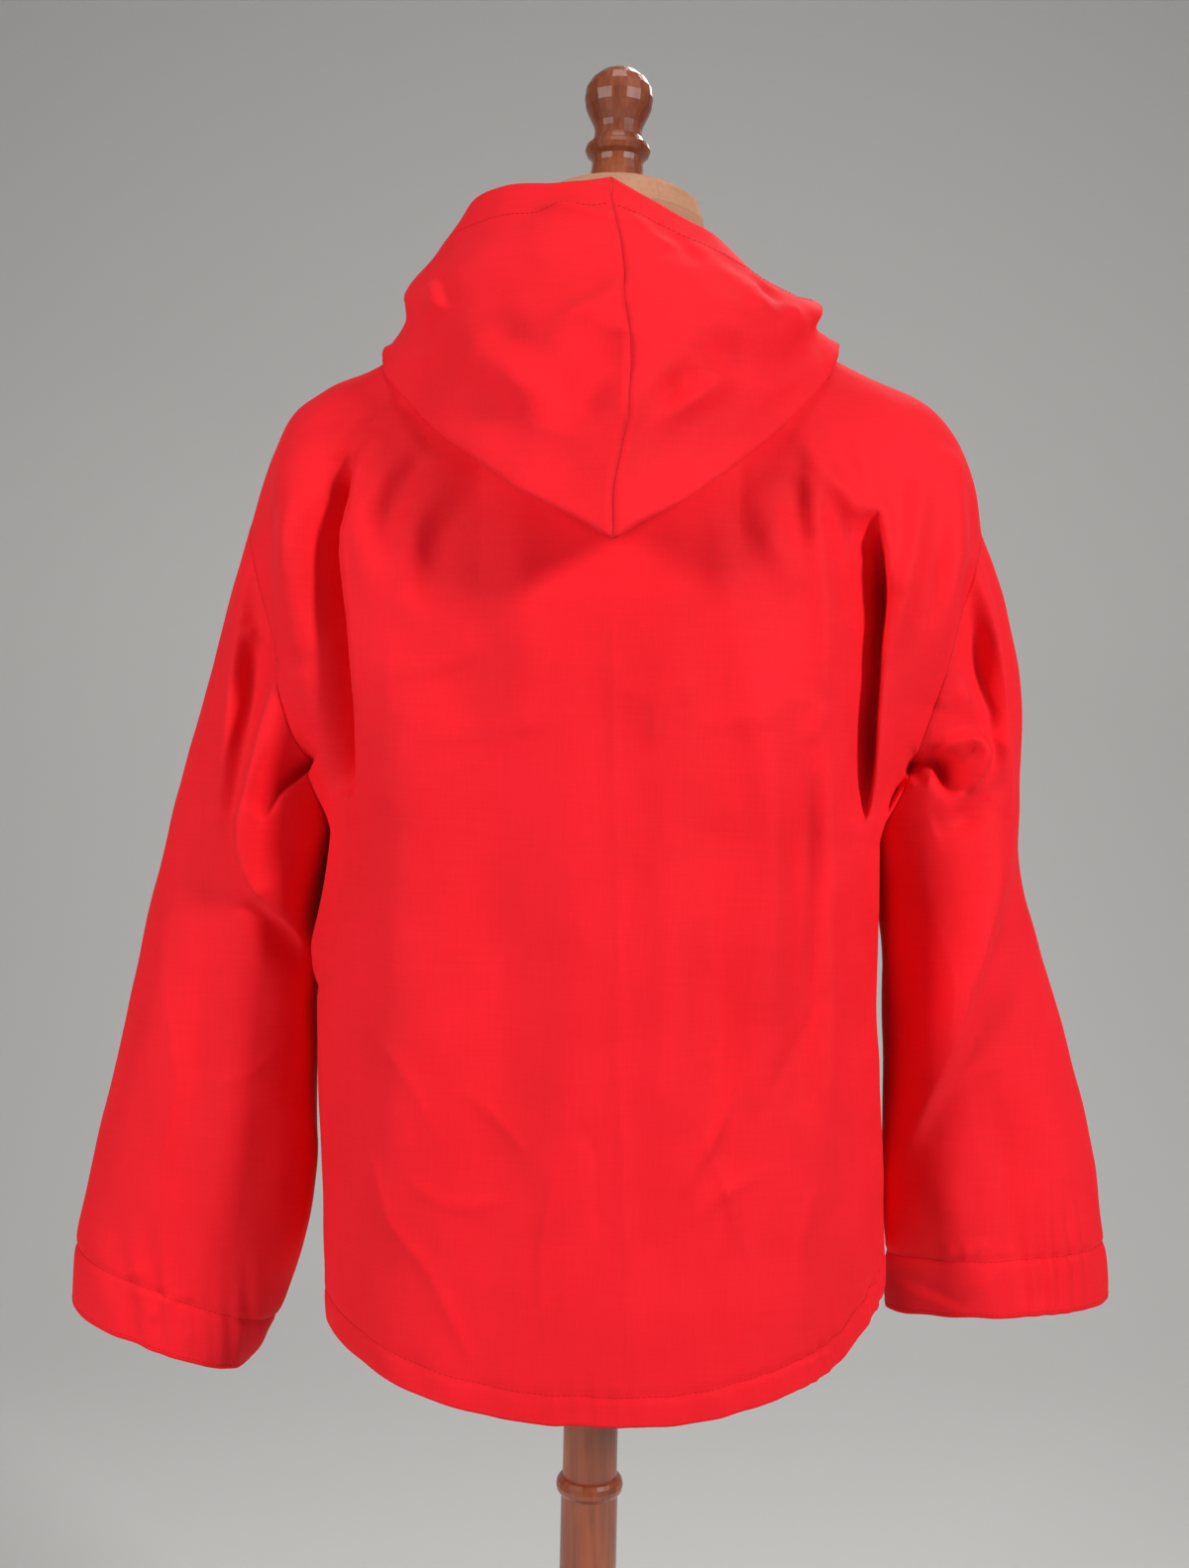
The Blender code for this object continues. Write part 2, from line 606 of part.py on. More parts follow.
def main():
    for obj in list(bpy.data.objects):
        bpy.data.objects.remove(obj)
    collection = bpy.data.collections.new("anorak_on_form")
    bpy.context.scene.collection.children.link(collection)
    make_garment(finish("red_poplin", (0.78, 0.016, 0.030), 0.75))
    make_form(finish("beige_linen", (0.62, 0.33, 0.19), 0.9))
    make_stand(finish("varnished_wood", (0.25, 0.055, 0.016), 0.3))


main()
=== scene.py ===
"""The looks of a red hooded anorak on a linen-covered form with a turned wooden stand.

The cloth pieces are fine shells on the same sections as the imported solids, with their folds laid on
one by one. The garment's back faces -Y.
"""

import math

import bpy
import numpy as np
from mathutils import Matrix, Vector, noise


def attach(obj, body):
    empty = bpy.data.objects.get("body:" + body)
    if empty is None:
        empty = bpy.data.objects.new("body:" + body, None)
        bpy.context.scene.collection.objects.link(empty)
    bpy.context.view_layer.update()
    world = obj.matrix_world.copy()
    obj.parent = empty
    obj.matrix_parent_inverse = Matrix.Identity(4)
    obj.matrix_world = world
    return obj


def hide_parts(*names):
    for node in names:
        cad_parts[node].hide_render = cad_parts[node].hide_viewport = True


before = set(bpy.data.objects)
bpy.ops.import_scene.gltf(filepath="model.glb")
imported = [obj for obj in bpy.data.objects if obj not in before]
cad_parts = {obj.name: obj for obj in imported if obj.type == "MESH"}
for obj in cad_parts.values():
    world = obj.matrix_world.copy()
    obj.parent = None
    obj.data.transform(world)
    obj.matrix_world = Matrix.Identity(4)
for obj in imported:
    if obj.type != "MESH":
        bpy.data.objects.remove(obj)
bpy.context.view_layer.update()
noise.seed_set(5)  # unseeded, the cloth's waves would start from the clock

# ---------------------------------------------------------------- the garment's sizes
CLOTH = 0.0010  # a shell's thickness
SEAM = 0.0002  # between two sewn edges
NECK_WIDE = 0.083
NECK_BACK = 0.075
NECK_FRONT = 0.085
NECK_Z = {"back": 1.425, "side": 1.440, "front": 1.385}
UNDERARM_X = 0.190
UNDERARM_Z = 1.075
CHEST_DEEP = 0.144
CHEST_WIDE = 0.215
ARMHOLE_DEPTH = 0.065
NECK_SHARE = 0.30
SLIT_LENGTH = 0.17
SLIT_GAP = 0.010
RING_POWER = 2.6
SHOULDER_POWER = 2.2
HEM_CASING = 0.019  # from the hem's edge to its stitching
CUFF_CASING = 0.040
FACE_CHANNEL = 0.030  # from the hood's face edge to its stitching
CASING_ROLL = 0.0004  # how far a casing swells between its edge and its stitching
STITCH_GROOVE = 0.0013  # how deep the stitching pulls the cloth in, and over what height
GROOVE_REACH = 0.0026
PUCKER = 0.0015
CUFF_FULLNESS = 1.15  # a cuff's casing stands out this much more than the hem's
HOOD_STAND = 0.020
HOOD_FLARE = 0.006
HOOD_LOFT = 0.008
HOOD_CLEAR = 0.005
HOOD_RISE = 0.012

# How finely the cloth is divided
NECK_COLUMNS = 40
SHOULDER_COLUMNS = 56
PANEL_ROWS = 106
ARMHOLE_ROWS = 100
SLEEVE_ROWS = 186
HOOD_ROWS = 180
SLIT_SEAM = 6  # columns from the neck slit to its stitching
EDGE_ROWS = 16  # of a panel's or a sleeve's rows, those close together at its hem or cuff


class Table:
    """Rows of sizes under named columns. The first column is the key that the rest follow."""

    def __init__(self, columns, *rows):
        values = np.array(rows, float).T
        self.key = values[0]
        self.columns = dict(zip(columns.split()[1:], values[1:]))

    def at(self, name, key):
        """A column's value at any key, on a smooth curve through the rows."""
        knots = self.key
        values = self.columns[name]
        slopes = np.gradient(values, knots)
        key = np.clip(key, knots[0], knots[-1])
        i = np.clip(np.searchsorted(knots, key, side="right") - 1, 0, len(knots) - 2)
        step = knots[i + 1] - knots[i]
        u = (key - knots[i]) / step
        start = (1 + 2 * u) * (1 - u) ** 2 * values[i] + u * (1 - u) ** 2 * step * slopes[i]
        end = u**2 * (3 - 2 * u) * values[i + 1] + u**2 * (u - 1) * step * slopes[i + 1]
        return start + end


# The body's half widths and depths at each height
BODY = Table(
    "height left right back front",
    (0.700, 0.1815, 0.2005, 0.150, 0.145),
    (0.740, 0.1835, 0.2005, 0.151, 0.147),
    (0.790, 0.1860, 0.1995, 0.151, 0.148),
    (0.830, 0.1880, 0.1980, 0.150, 0.148),
    (0.900, 0.1940, 0.1965, 0.148, 0.147),
    (0.960, 0.1950, 0.1925, 0.146, 0.146),
    (1.020, 0.1935, 0.1918, 0.145, 0.144),
    (1.075, 0.1900, 0.1900, 0.144, 0.142),
)

# The hem's height, from the left side seam (-1) through the middle (0) to the right one (1)
HEM = Table(
    "across back front",
    (-1.00, 0.7560, 0.7560),
    (-0.80, 0.7480, 0.7490),
    (-0.60, 0.7385, 0.7400),
    (-0.40, 0.7250, 0.7265),
    (-0.20, 0.7160, 0.7180),
    (0.00, 0.7126, 0.7160),
    (0.25, 0.7200, 0.7215),
    (0.42, 0.7290, 0.7300),
    (0.55, 0.7415, 0.7425),
    (0.69, 0.7620, 0.7630),
    (0.80, 0.7760, 0.7765),
    (1.00, 0.7860, 0.7860),
)

# The shoulder line from the neck point (0) to the top of the armhole (1)
SHOULDER = Table(
    "along left_x left_z right_x right_z",
    (0.00, 0.0830, 1.4400, 0.0830, 1.4400),
    (0.20, 0.1240, 1.4195, 0.1220, 1.4250),
    (0.41, 0.1705, 1.3960, 0.1630, 1.4070),
    (0.55, 0.2010, 1.3820, 0.1920, 1.3940),
    (0.66, 0.2215, 1.3680, 0.2200, 1.3810),
    (0.77, 0.2340, 1.3430, 0.2400, 1.3600),
    (0.88, 0.2425, 1.3180, 0.2530, 1.3310),
    (1.00, 0.2500, 1.2910, 0.2596, 1.2920),
)

# Each sleeve's sections from the armhole (0) to the cuff (1)
SLEEVE_COLUMNS = "along outer_x outer_z inner_x inner_z forward depth"
SLEEVES = {
    "left": Table(
        SLEEVE_COLUMNS,
        (0.00, 0.2500, 1.2910, 0.1900, 1.0750, 0.000, 0.065),
        (0.12, 0.2660, 1.2330, 0.1970, 1.0350, 0.004, 0.064),
        (0.28, 0.2880, 1.1550, 0.1995, 0.9850, 0.010, 0.062),
        (0.42, 0.3050, 1.0860, 0.2000, 0.9350, 0.014, 0.060),
        (0.56, 0.3220, 1.0180, 0.2000, 0.8850, 0.016, 0.058),
        (0.72, 0.3420, 0.9220, 0.1995, 0.8250, 0.016, 0.055),
        (0.86, 0.3600, 0.8270, 0.2110, 0.7650, 0.014, 0.050),
        (0.95, 0.3690, 0.7730, 0.2310, 0.7150, 0.012, 0.046),
        (1.00, 0.3700, 0.7360, 0.2460, 0.6920, 0.012, 0.044),
    ),
    "right": Table(
        SLEEVE_COLUMNS,
        (0.00, 0.2596, 1.2920, 0.1900, 1.0750, 0.000, 0.065),
        (0.12, 0.2800, 1.2400, 0.1975, 1.0350, 0.004, 0.064),
        (0.26, 0.2935, 1.1800, 0.2010, 0.9850, 0.008, 0.062),
        (0.40, 0.2950, 1.1150, 0.2020, 0.9400, 0.010, 0.060),
        (0.52, 0.2960, 1.0600, 0.2030, 0.9050, 0.010, 0.058),
        (0.64, 0.3110, 1.0050, 0.2040, 0.8700, 0.010, 0.056),
        (0.80, 0.3340, 0.9280, 0.2050, 0.8250, 0.008, 0.052),
        (0.92, 0.3560, 0.8330, 0.2070, 0.7850, 0.006, 0.046),
        (1.00, 0.3645, 0.7560, 0.2100, 0.7450, 0.005, 0.042),
    ),
}

# The hood by the angle round the neck, from the centre back (0) to the front (180 degrees)
HOOD_SIZES = "angle fold_x fold_y fold_z outer_x outer_y outer_z edge_x edge_y edge_z"
HOODS = {
    "left": Table(
        HOOD_SIZES,
        (0, 0.000, -0.198, 1.254, 0.000, -0.172, 1.385, 0.000, -0.080, 1.510),
        (25, 0.066, -0.170, 1.293, 0.064, -0.150, 1.400, 0.036, -0.082, 1.505),
        (50, 0.118, -0.118, 1.337, 0.108, -0.110, 1.415, 0.078, -0.068, 1.506),
        (75, 0.156, -0.050, 1.386, 0.141, -0.050, 1.440, 0.104, -0.030, 1.500),
        (100, 0.156, 0.015, 1.418, 0.142, 0.012, 1.452, 0.104, 0.018, 1.474),
        (130, 0.110, 0.082, 1.412, 0.098, 0.078, 1.440, 0.076, 0.066, 1.440),
        (155, 0.052, 0.116, 1.401, 0.047, 0.112, 1.418, 0.037, 0.096, 1.414),
        (180, 0.009, 0.116, 1.396, 0.008, 0.114, 1.408, 0.007, 0.101, 1.404),
    ),
    "right": Table(
        HOOD_SIZES,
        (0, 0.000, -0.198, 1.254, 0.000, -0.172, 1.385, 0.000, -0.080, 1.510),
        (25, 0.060, -0.168, 1.295, 0.060, -0.150, 1.400, 0.035, -0.082, 1.489),
        (50, 0.110, -0.116, 1.340, 0.106, -0.106, 1.412, 0.068, -0.071, 1.473),
        (75, 0.150, -0.052, 1.392, 0.140, -0.046, 1.436, 0.105, -0.031, 1.456),
        (100, 0.152, 0.015, 1.425, 0.140, 0.014, 1.452, 0.108, 0.018, 1.460),
        (130, 0.108, 0.082, 1.414, 0.097, 0.078, 1.440, 0.076, 0.066, 1.440),
        (155, 0.052, 0.116, 1.401, 0.047, 0.112, 1.418, 0.037, 0.096, 1.414),
        (180, 0.009, 0.116, 1.396, 0.008, 0.114, 1.408, 0.007, 0.101, 1.404),
    ),
}
HOOD_END = 180

# ---------------------------------------------------------------- the folds, laid on one by one
# Each fold has a kind, a half width and a height in millimetres, and the places it runs through as
# seen from behind. A ridge stands out (or sinks, where its height is below zero). An edge stands
# out, falls slowly to its left and sharply to its right. A crease is a sharp pressed line.
BACK_FOLDS = (
    (
        "edge", -26, 17, (-0.222, 1.335), (-0.220, 1.312), (-0.214, 1.273),
        (-0.212, 1.249), (-0.213, 1.224), (-0.216, 1.190),
    ),
    (
        "edge", 12, -46, (-0.172, 1.322), (-0.178, 1.286), (-0.182, 1.265), (-0.180, 1.235),
        (-0.176, 1.200), (-0.171, 1.154), (-0.168, 1.100),
    ),
    ("ridge", 9, 6, (-0.140, 1.354), (-0.157, 1.335), (-0.170, 1.315), (-0.181, 1.297)),
    ("ridge", 9, -7, (-0.135, 1.362), (-0.148, 1.350), (-0.163, 1.335), (-0.176, 1.308)),
    (
        "ridge", 11, 6, (-0.123, 1.333), (-0.138, 1.316), (-0.153, 1.294),
        (-0.160, 1.279), (-0.155, 1.248), (-0.153, 1.218),
    ),
    ("ridge", 14, -5, (-0.119, 1.320), (-0.134, 1.299), (-0.143, 1.275), (-0.141, 1.245)),
    (
        "ridge", 14, 5, (-0.095, 1.313), (-0.115, 1.290), (-0.127, 1.267),
        (-0.133, 1.236), (-0.136, 1.210),
    ),
    ("ridge", 14, -5, (-0.083, 1.302), (-0.100, 1.278), (-0.110, 1.256), (-0.116, 1.218)),
    (
        "ridge", 16, 5, (-0.062, 1.283), (-0.060, 1.257), (-0.055, 1.219),
        (-0.053, 1.181), (-0.054, 1.136),
    ),
    (
        "edge", 26, 17, (0.237, 1.341), (0.235, 1.321), (0.232, 1.283), (0.229, 1.246),
        (0.225, 1.213), (0.224, 1.185), (0.222, 1.166),
    ),
    (
        "edge", 12, -46, (0.172, 1.290), (0.173, 1.265), (0.174, 1.230), (0.172, 1.196),
        (0.170, 1.169), (0.168, 1.130), (0.165, 1.085),
    ),
    (
        "ridge", 9, 7, (0.119, 1.342), (0.135, 1.319), (0.154, 1.299),
        (0.172, 1.278), (0.182, 1.256), (0.186, 1.237),
    ),
    (
        "ridge", 9, 7, (0.135, 1.325), (0.130, 1.304), (0.132, 1.278),
        (0.136, 1.239), (0.139, 1.198), (0.139, 1.167),
    ),
    ("ridge", 10, -8, (0.145, 1.300), (0.149, 1.270), (0.156, 1.244), (0.160, 1.217)),
    ("ridge", 9, -6, (0.124, 1.306), (0.120, 1.283), (0.123, 1.262)),
    ("ridge", 8, 6, (0.162, 1.342), (0.168, 1.316), (0.175, 1.291), (0.183, 1.266)),
    ("ridge", 8, 8, (0.203, 1.317), (0.201, 1.293), (0.197, 1.261), (0.190, 1.225), (0.182, 1.190)),
    ("ridge", 10, -6, (0.218, 1.311), (0.215, 1.279), (0.211, 1.243), (0.207, 1.215)),
    ("ridge", 12, 6, (0.090, 1.301), (0.100, 1.275), (0.110, 1.253), (0.118, 1.234)),
    ("ridge", 13, 8, (0.138, 1.167), (0.146, 1.140), (0.151, 1.100), (0.150, 1.000), (0.149, 0.870)),
    ("ridge", 11, -7, (0.128, 1.144), (0.128, 1.090), (0.126, 1.000), (0.124, 0.900)),
    ("ridge", 17, 8, (0.070, 1.273), (0.086, 1.190), (0.106, 1.103), (0.112, 1.030), (0.104, 0.960)),
    ("ridge", 24, 8, (-0.134, 1.190), (-0.130, 1.127), (-0.126, 0.915), (-0.130, 0.800)),
    ("ridge", 22, -8, (-0.084, 1.200), (-0.074, 1.120), (-0.066, 0.960), (-0.064, 0.800)),
    ("ridge", 18, 5, (-0.024, 1.200), (-0.020, 1.106), (-0.016, 0.950), (-0.022, 0.830)),
    ("ridge", 18, 6, (0.036, 1.240), (0.040, 1.106), (0.041, 0.950), (0.038, 0.830)),
    ("ridge", 15, -7, (0.066, 1.090), (0.072, 0.980), (0.078, 0.860)),
    ("ridge", 14, -5, (0.172, 1.060), (0.178, 0.960), (0.176, 0.830)),
    ("crease", 6, 2.6, (0.002, 1.245), (0.006, 1.100), (0.013, 0.918), (0.019, 0.820), (0.023, 0.733)),
)
BACK_CREASES = (
    ("crease", 4, 2.5, (-0.138, 1.176), (-0.105, 1.184), (-0.072, 1.198)),
    ("crease", 4, -2.2, (-0.134, 1.170), (-0.105, 1.172), (-0.077, 1.178)),
    ("crease", 4, 2.2, (-0.131, 1.149), (-0.095, 1.143), (-0.063, 1.143)),
    ("crease", 4, 3.0, (-0.119, 1.135), (-0.085, 1.138), (-0.040, 1.149), (-0.007, 1.150)),
    ("crease", 4, 2.4, (-0.106, 1.114), (-0.080, 1.125), (-0.058, 1.138)),
    ("crease", 4, 1.8, (-0.139, 1.201), (-0.140, 1.180), (-0.138, 1.152)),
    ("crease", 4, 3.0, (0.003, 1.174), (0.016, 1.167), (0.028, 1.161), (0.030, 1.150), (0.029, 1.136)),
    ("crease", 4, 2.8, (0.028, 1.161), (0.040, 1.166), (0.057, 1.173)),
    ("crease", 4, 2.8, (0.057, 1.148), (0.085, 1.152), (0.118, 1.158)),
    ("crease", 4, 3.4, (0.130, 1.167), (0.137, 1.160), (0.134, 1.150), (0.126, 1.141)),
    ("crease", 4, 2.4, (0.105, 1.172), (0.118, 1.166), (0.131, 1.166)),
    (
        "crease", 5, 3.9, (-0.162, 0.905), (-0.143, 0.866), (-0.130, 0.832),
        (-0.105, 0.805), (-0.090, 0.778), (-0.072, 0.748),
    ),
    ("crease", 4, 2.7, (-0.086, 0.918), (-0.064, 0.900), (-0.042, 0.878)),
    ("crease", 4, 2.5, (-0.150, 0.955), (-0.120, 0.925), (-0.098, 0.880)),
    ("crease", 4, 3.4, (0.055, 0.915), (0.072, 0.880), (0.102, 0.800)),
    ("crease", 4, 3.3, (0.092, 0.935), (0.074, 0.895), (0.052, 0.855)),
    ("crease", 4, -2.7, (0.104, 0.905), (0.120, 0.945), (0.142, 0.980)),
    ("crease", 4, 2.4, (0.060, 0.840), (0.084, 0.862), (0.112, 0.870)),
    ("crease", 5, 3.2, (0.140, 0.860), (0.128, 0.812), (0.132, 0.770)),
    ("crease", 4, 2.4, (-0.028, 0.870), (-0.034, 0.820), (-0.030, 0.768)),
    ("crease", 5, -2.7, (-0.010, 0.905), (-0.002, 0.880), (0.000, 0.830)),
    ("crease", 4, 2.7, (-0.120, 0.862), (-0.090, 0.845), (-0.052, 0.850)),
)
SLEEVE_FOLDS = (
    (
        "edge", -18, 21, (-0.212, 1.192), (-0.223, 1.163), (-0.230, 1.132), (-0.236, 1.104),
        (-0.241, 1.073), (-0.239, 1.051), (-0.226, 1.028), (-0.201, 0.997), (-0.186, 0.971),
    ),
    ("edge", 12, -18, (-0.193, 1.130), (-0.205, 1.118), (-0.218, 1.104), (-0.227, 1.085)),
    (
        "ridge", 12, -13, (-0.232, 1.266), (-0.234, 1.237), (-0.236, 1.204),
        (-0.240, 1.165), (-0.246, 1.124), (-0.251, 1.083),
    ),
    (
        "ridge", 8, 7, (-0.246, 1.284), (-0.250, 1.238), (-0.252, 1.207),
        (-0.254, 1.166), (-0.257, 1.114), (-0.262, 1.072),
    ),
    ("ridge", 6, 5, (-0.252, 1.216), (-0.244, 1.210), (-0.232, 1.206)),
    ("ridge", 11, -14, (-0.231, 1.032), (-0.213, 0.993), (-0.199, 0.959)),
    ("ridge", 12, 6, (-0.212, 1.060), (-0.205, 1.020), (-0.197, 0.988)),
    ("ridge", 16, 5, (-0.282, 1.180), (-0.298, 1.080), (-0.310, 0.980), (-0.322, 0.880)),
    ("ridge", 16, -5, (-0.262, 1.060), (-0.268, 0.980), (-0.276, 0.900), (-0.284, 0.820)),
    ("ridge", 18, 5, (-0.236, 0.940), (-0.244, 0.880), (-0.256, 0.800)),
    ("crease", 5, 2.0, (-0.215, 0.930), (-0.240, 0.905), (-0.275, 0.900)),
    ("crease", 5, 1.8, (-0.300, 0.960), (-0.290, 0.900), (-0.300, 0.840)),
    (
        "edge", 10, 15, (0.221, 1.136), (0.229, 1.141), (0.241, 1.146), (0.252, 1.146),
        (0.257, 1.139), (0.253, 1.124), (0.246, 1.110),
    ),
    ("ridge", 8, -20, (0.203, 1.120), (0.214, 1.129), (0.224, 1.129), (0.231, 1.119), (0.235, 1.108)),
    ("edge", 12, -18, (0.212, 1.133), (0.202, 1.122), (0.192, 1.108), (0.182, 1.085)),
    (
        "edge", 10, 12, (0.250, 1.275), (0.260, 1.238), (0.266, 1.206),
        (0.271, 1.174), (0.275, 1.133), (0.277, 1.094),
    ),
    ("ridge", 10, -12, (0.239, 1.264), (0.245, 1.227), (0.252, 1.196), (0.260, 1.166), (0.264, 1.125)),
    ("ridge", 9, 6, (0.230, 1.195), (0.241, 1.175), (0.249, 1.155)),
    ("ridge", 10, -7, (0.255, 1.108), (0.245, 1.094), (0.224, 1.083)),
    (
        "edge", 26, 19, (0.284, 1.090), (0.275, 1.066), (0.266, 1.036), (0.250, 0.985),
        (0.234, 0.930), (0.212, 0.870), (0.198, 0.830),
    ),
    ("ridge", 20, 5, (0.300, 0.990), (0.316, 0.920), (0.330, 0.840)),
    ("ridge", 16, -5, (0.262, 0.920), (0.280, 0.860), (0.290, 0.790)),
    ("ridge", 14, 5, (0.230, 0.870), (0.240, 0.830), (0.250, 0.790)),
    ("crease", 5, 1.8, (0.226, 1.020), (0.236, 0.980), (0.232, 0.940)),
    ("crease", 5, 3.0, (-0.332, 0.758), (-0.325, 0.764), (-0.312, 0.768)),
    ("crease", 5, 3.4, (-0.304, 0.733), (-0.296, 0.746), (-0.276, 0.754)),
    ("crease", 5, 3.2, (-0.257, 0.706), (-0.246, 0.722), (-0.234, 0.742)),
    ("crease", 5, 2.6, (-0.347, 0.772), (-0.340, 0.780), (-0.335, 0.790)),
    ("crease", 4, 2.4, (-0.318, 0.742), (-0.312, 0.730), (-0.314, 0.716)),
    ("crease", 4, 2.4, (-0.284, 0.742), (-0.280, 0.728), (-0.282, 0.712)),
    ("crease", 6, -4.0, (0.206, 0.776), (0.228, 0.766), (0.252, 0.759)),
    ("crease", 5, 4.0, (0.252, 0.758), (0.264, 0.771), (0.279, 0.788)),
    ("crease", 5, 3.0, (0.214, 0.764), (0.236, 0.756), (0.258, 0.752)),
    ("crease", 4, 2.4, (0.238, 0.802), (0.242, 0.794), (0.240, 0.784)),
    ("crease", 4, 2.4, (0.250, 0.803), (0.253, 0.795), (0.252, 0.786)),
    ("crease", 4, 2.0, (0.262, 0.805), (0.264, 0.797), (0.262, 0.790)),
)
HOOD_FOLDS = (
    ("ridge", 9, 7, (-0.127, 1.394), (-0.121, 1.375), (-0.111, 1.356), (-0.088, 1.337)),
    ("ridge", 8, -7, (-0.127, 1.380), (-0.123, 1.366), (-0.116, 1.350)),
    (
        "ridge", 13, 8, (-0.094, 1.384), (-0.076, 1.365), (-0.063, 1.351),
        (-0.045, 1.330), (-0.030, 1.306),
    ),
    ("ridge", 13, -5, (-0.080, 1.410), (-0.074, 1.391), (-0.060, 1.380), (-0.047, 1.386)),
    ("ridge", 7, 6, (-0.043, 1.388), (-0.028, 1.400), (-0.013, 1.408), (-0.002, 1.423)),
    ("ridge", 16, -10, (-0.005, 1.386), (-0.016, 1.363), (-0.030, 1.340), (-0.036, 1.321)),
    ("ridge", 12, 6, (0.001, 1.357), (-0.011, 1.327), (-0.018, 1.308), (-0.010, 1.282)),
    ("ridge", 6, 7, (-0.121, 1.436), (-0.117, 1.424), (-0.111, 1.409)),
    ("ridge", 5, -4, (-0.114, 1.440), (-0.108, 1.426), (-0.106, 1.412)),
    ("ridge", 14, 4, (0.015, 1.446), (0.023, 1.423), (0.037, 1.397), (0.041, 1.374)),
    ("edge", -10, 8, (0.071, 1.363), (0.054, 1.352), (0.038, 1.341), (0.021, 1.328)),
    ("ridge", 9, -6, (0.045, 1.364), (0.032, 1.351), (0.021, 1.337)),
    ("ridge", 12, -7, (0.081, 1.390), (0.068, 1.373), (0.064, 1.363)),
    ("ridge", 6, 7, (0.083, 1.433), (0.091, 1.419), (0.102, 1.410)),
    ("ridge", 5, -5, (0.091, 1.445), (0.097, 1.433), (0.107, 1.424)),
    ("ridge", 6, 4.5, (0.110, 1.433), (0.115, 1.421), (0.127, 1.409)),
    ("ridge", 5, -4, (0.037, 1.466), (0.045, 1.452), (0.047, 1.438)),
    ("ridge", 5, 4, (0.012, 1.479), (0.022, 1.461), (0.036, 1.452)),
    ("ridge", 12, 7, (0.128, 1.391), (0.102, 1.364), (0.074, 1.333), (0.046, 1.310)),
    ("crease", 4, 1.8, (-0.057, 1.446), (-0.047, 1.438), (-0.041, 1.426)),
    ("crease", 4, 1.6, (-0.060, 1.470), (-0.050, 1.465), (-0.036, 1.464)),
    ("edge", 6, 5, (-0.051, 1.484), (-0.031, 1.483), (-0.017, 1.480), (-0.002, 1.476)),
    ("crease", 4, 1.6, (0.020, 1.290), (0.014, 1.276), (0.010, 1.262)),
    ("crease", 4, -1.6, (-0.004, 1.288), (-0.002, 1.276), (0.002, 1.264)),
)
# The hood's seam: how far it wanders sideways at each height
KEEL = Table(
    "height shift",
    (1.254, -0.0050),
    (1.275, 0.0050),
    (1.300, 0.0085),
    (1.337, 0.0085),
    (1.410, 0.0060),
    (1.462, 0.0010),
    (1.482, -0.0030),
    (1.510, -0.0060),
)


def smooth_path(places, count=28):
    """A smooth run of points through a fold's places."""
    places = np.array(places)
    keys = np.concatenate([[0], np.cumsum(np.linalg.norm(np.diff(places, axis=0), axis=1))])
    table = Table("key x z", *np.column_stack([keys, places]))
    at = np.linspace(0, keys[-1], count)
    return np.column_stack([table.at("x", at), table.at("z", at)])


def rise_of(folds, x, z):
    """How far the folds lift the cloth at each place."""
    rise = np.zeros_like(x)
    for kind, wide, height, *places in folds:
        path = smooth_path(places)
        reach = 3.2 * abs(wide) / 1000
        near = (x > path[:, 0].min() - reach) & (x < path[:, 0].max() + reach)
        near &= (z > path[:, 1].min() - reach) & (z < path[:, 1].max() + reach)
        if not near.any():
            continue
        here = np.column_stack([x[near], z[near]])
        best = np.full(len(here), 1e9)
        signed = np.zeros(len(here))
        along = np.zeros(len(here))
        for k, (a, b) in enumerate(zip(path, path[1:])):
            run = b - a
            u = np.clip((here - a) @ run / (run @ run), 0, 1)
            away = here - a - u[:, None] * run
            distance = np.hypot(*away.T)
            side = np.sign(run[0] * away[:, 1] - run[1] * away[:, 0])
            closer = distance < best
            best = np.where(closer, distance, best)
            signed = np.where(closer, distance * side, signed)
            along = np.where(closer, (k + u) / (len(path) - 1), along)
        across = signed / (wide / 1000)
        fade = np.sin(math.pi * np.clip(along, 0.001, 0.999)) ** 0.55
        if kind == "ridge":
            shape = np.exp(-(across**2))
        elif kind == "edge":
            shape = np.exp(-(np.where(across > 0, 3.2 * across, across) ** 2))
        else:
            shape = np.exp(-1.2 * np.abs(across))
        # a fold's height wanders a little along its run
        wander = 1 + 0.18 * np.sin(9 * along + 40 * path[0, 0])
        rise[near] += height / 1000 * shape * fade * wander
    return rise


def wandered(points, scale, size, seed=0.0):
    """The points moved by smooth noise that depends only on where they are."""
    moved = points.reshape(-1, 3).copy()
    for i, p in enumerate(moved):
        at = Vector((p[0] * scale[0] + seed, p[1] * scale[1], p[2] * scale[2]))
        moved[i] = p + size * np.array(noise.noise_vector(at))
    return moved.reshape(points.shape)


def settled(points):
    """Cloth points with their folds: the drawn ones behind, like ones in front, and slight waves."""
    x, y, z = points[..., 0], points[..., 1], points[..., 2]
    rise = rise_of(BACK_FOLDS + BACK_CREASES + SLEEVE_FOLDS, x, z)
    front = rise_of(BACK_FOLDS, -0.96 * x, z + 0.03) + rise_of(SLEEVE_FOLDS, -x, z - 0.02)
    behind = np.clip((0.015 - y) / 0.06, 0, 1)
    before = np.clip((y - 0.0) / 0.06, 0, 1)
    lift = rise * behind + 0.8 * front * before
    outward = -np.where(x < 0, 0.5, 0.25) * np.exp(-(((np.abs(x) - 0.178) / 0.030) ** 2))
    forward = np.where(y < 0, -behind, before)
    size = np.maximum(np.hypot(outward, 1), 1)
    moved = points.copy()
    moved[..., 0] += lift * outward / size
    moved[..., 1] += lift * forward / size
    moved = wandered(moved, (16, 16, 7), 0.0030)
    return wandered(moved, (48, 48, 26), 0.0009, 7.3)


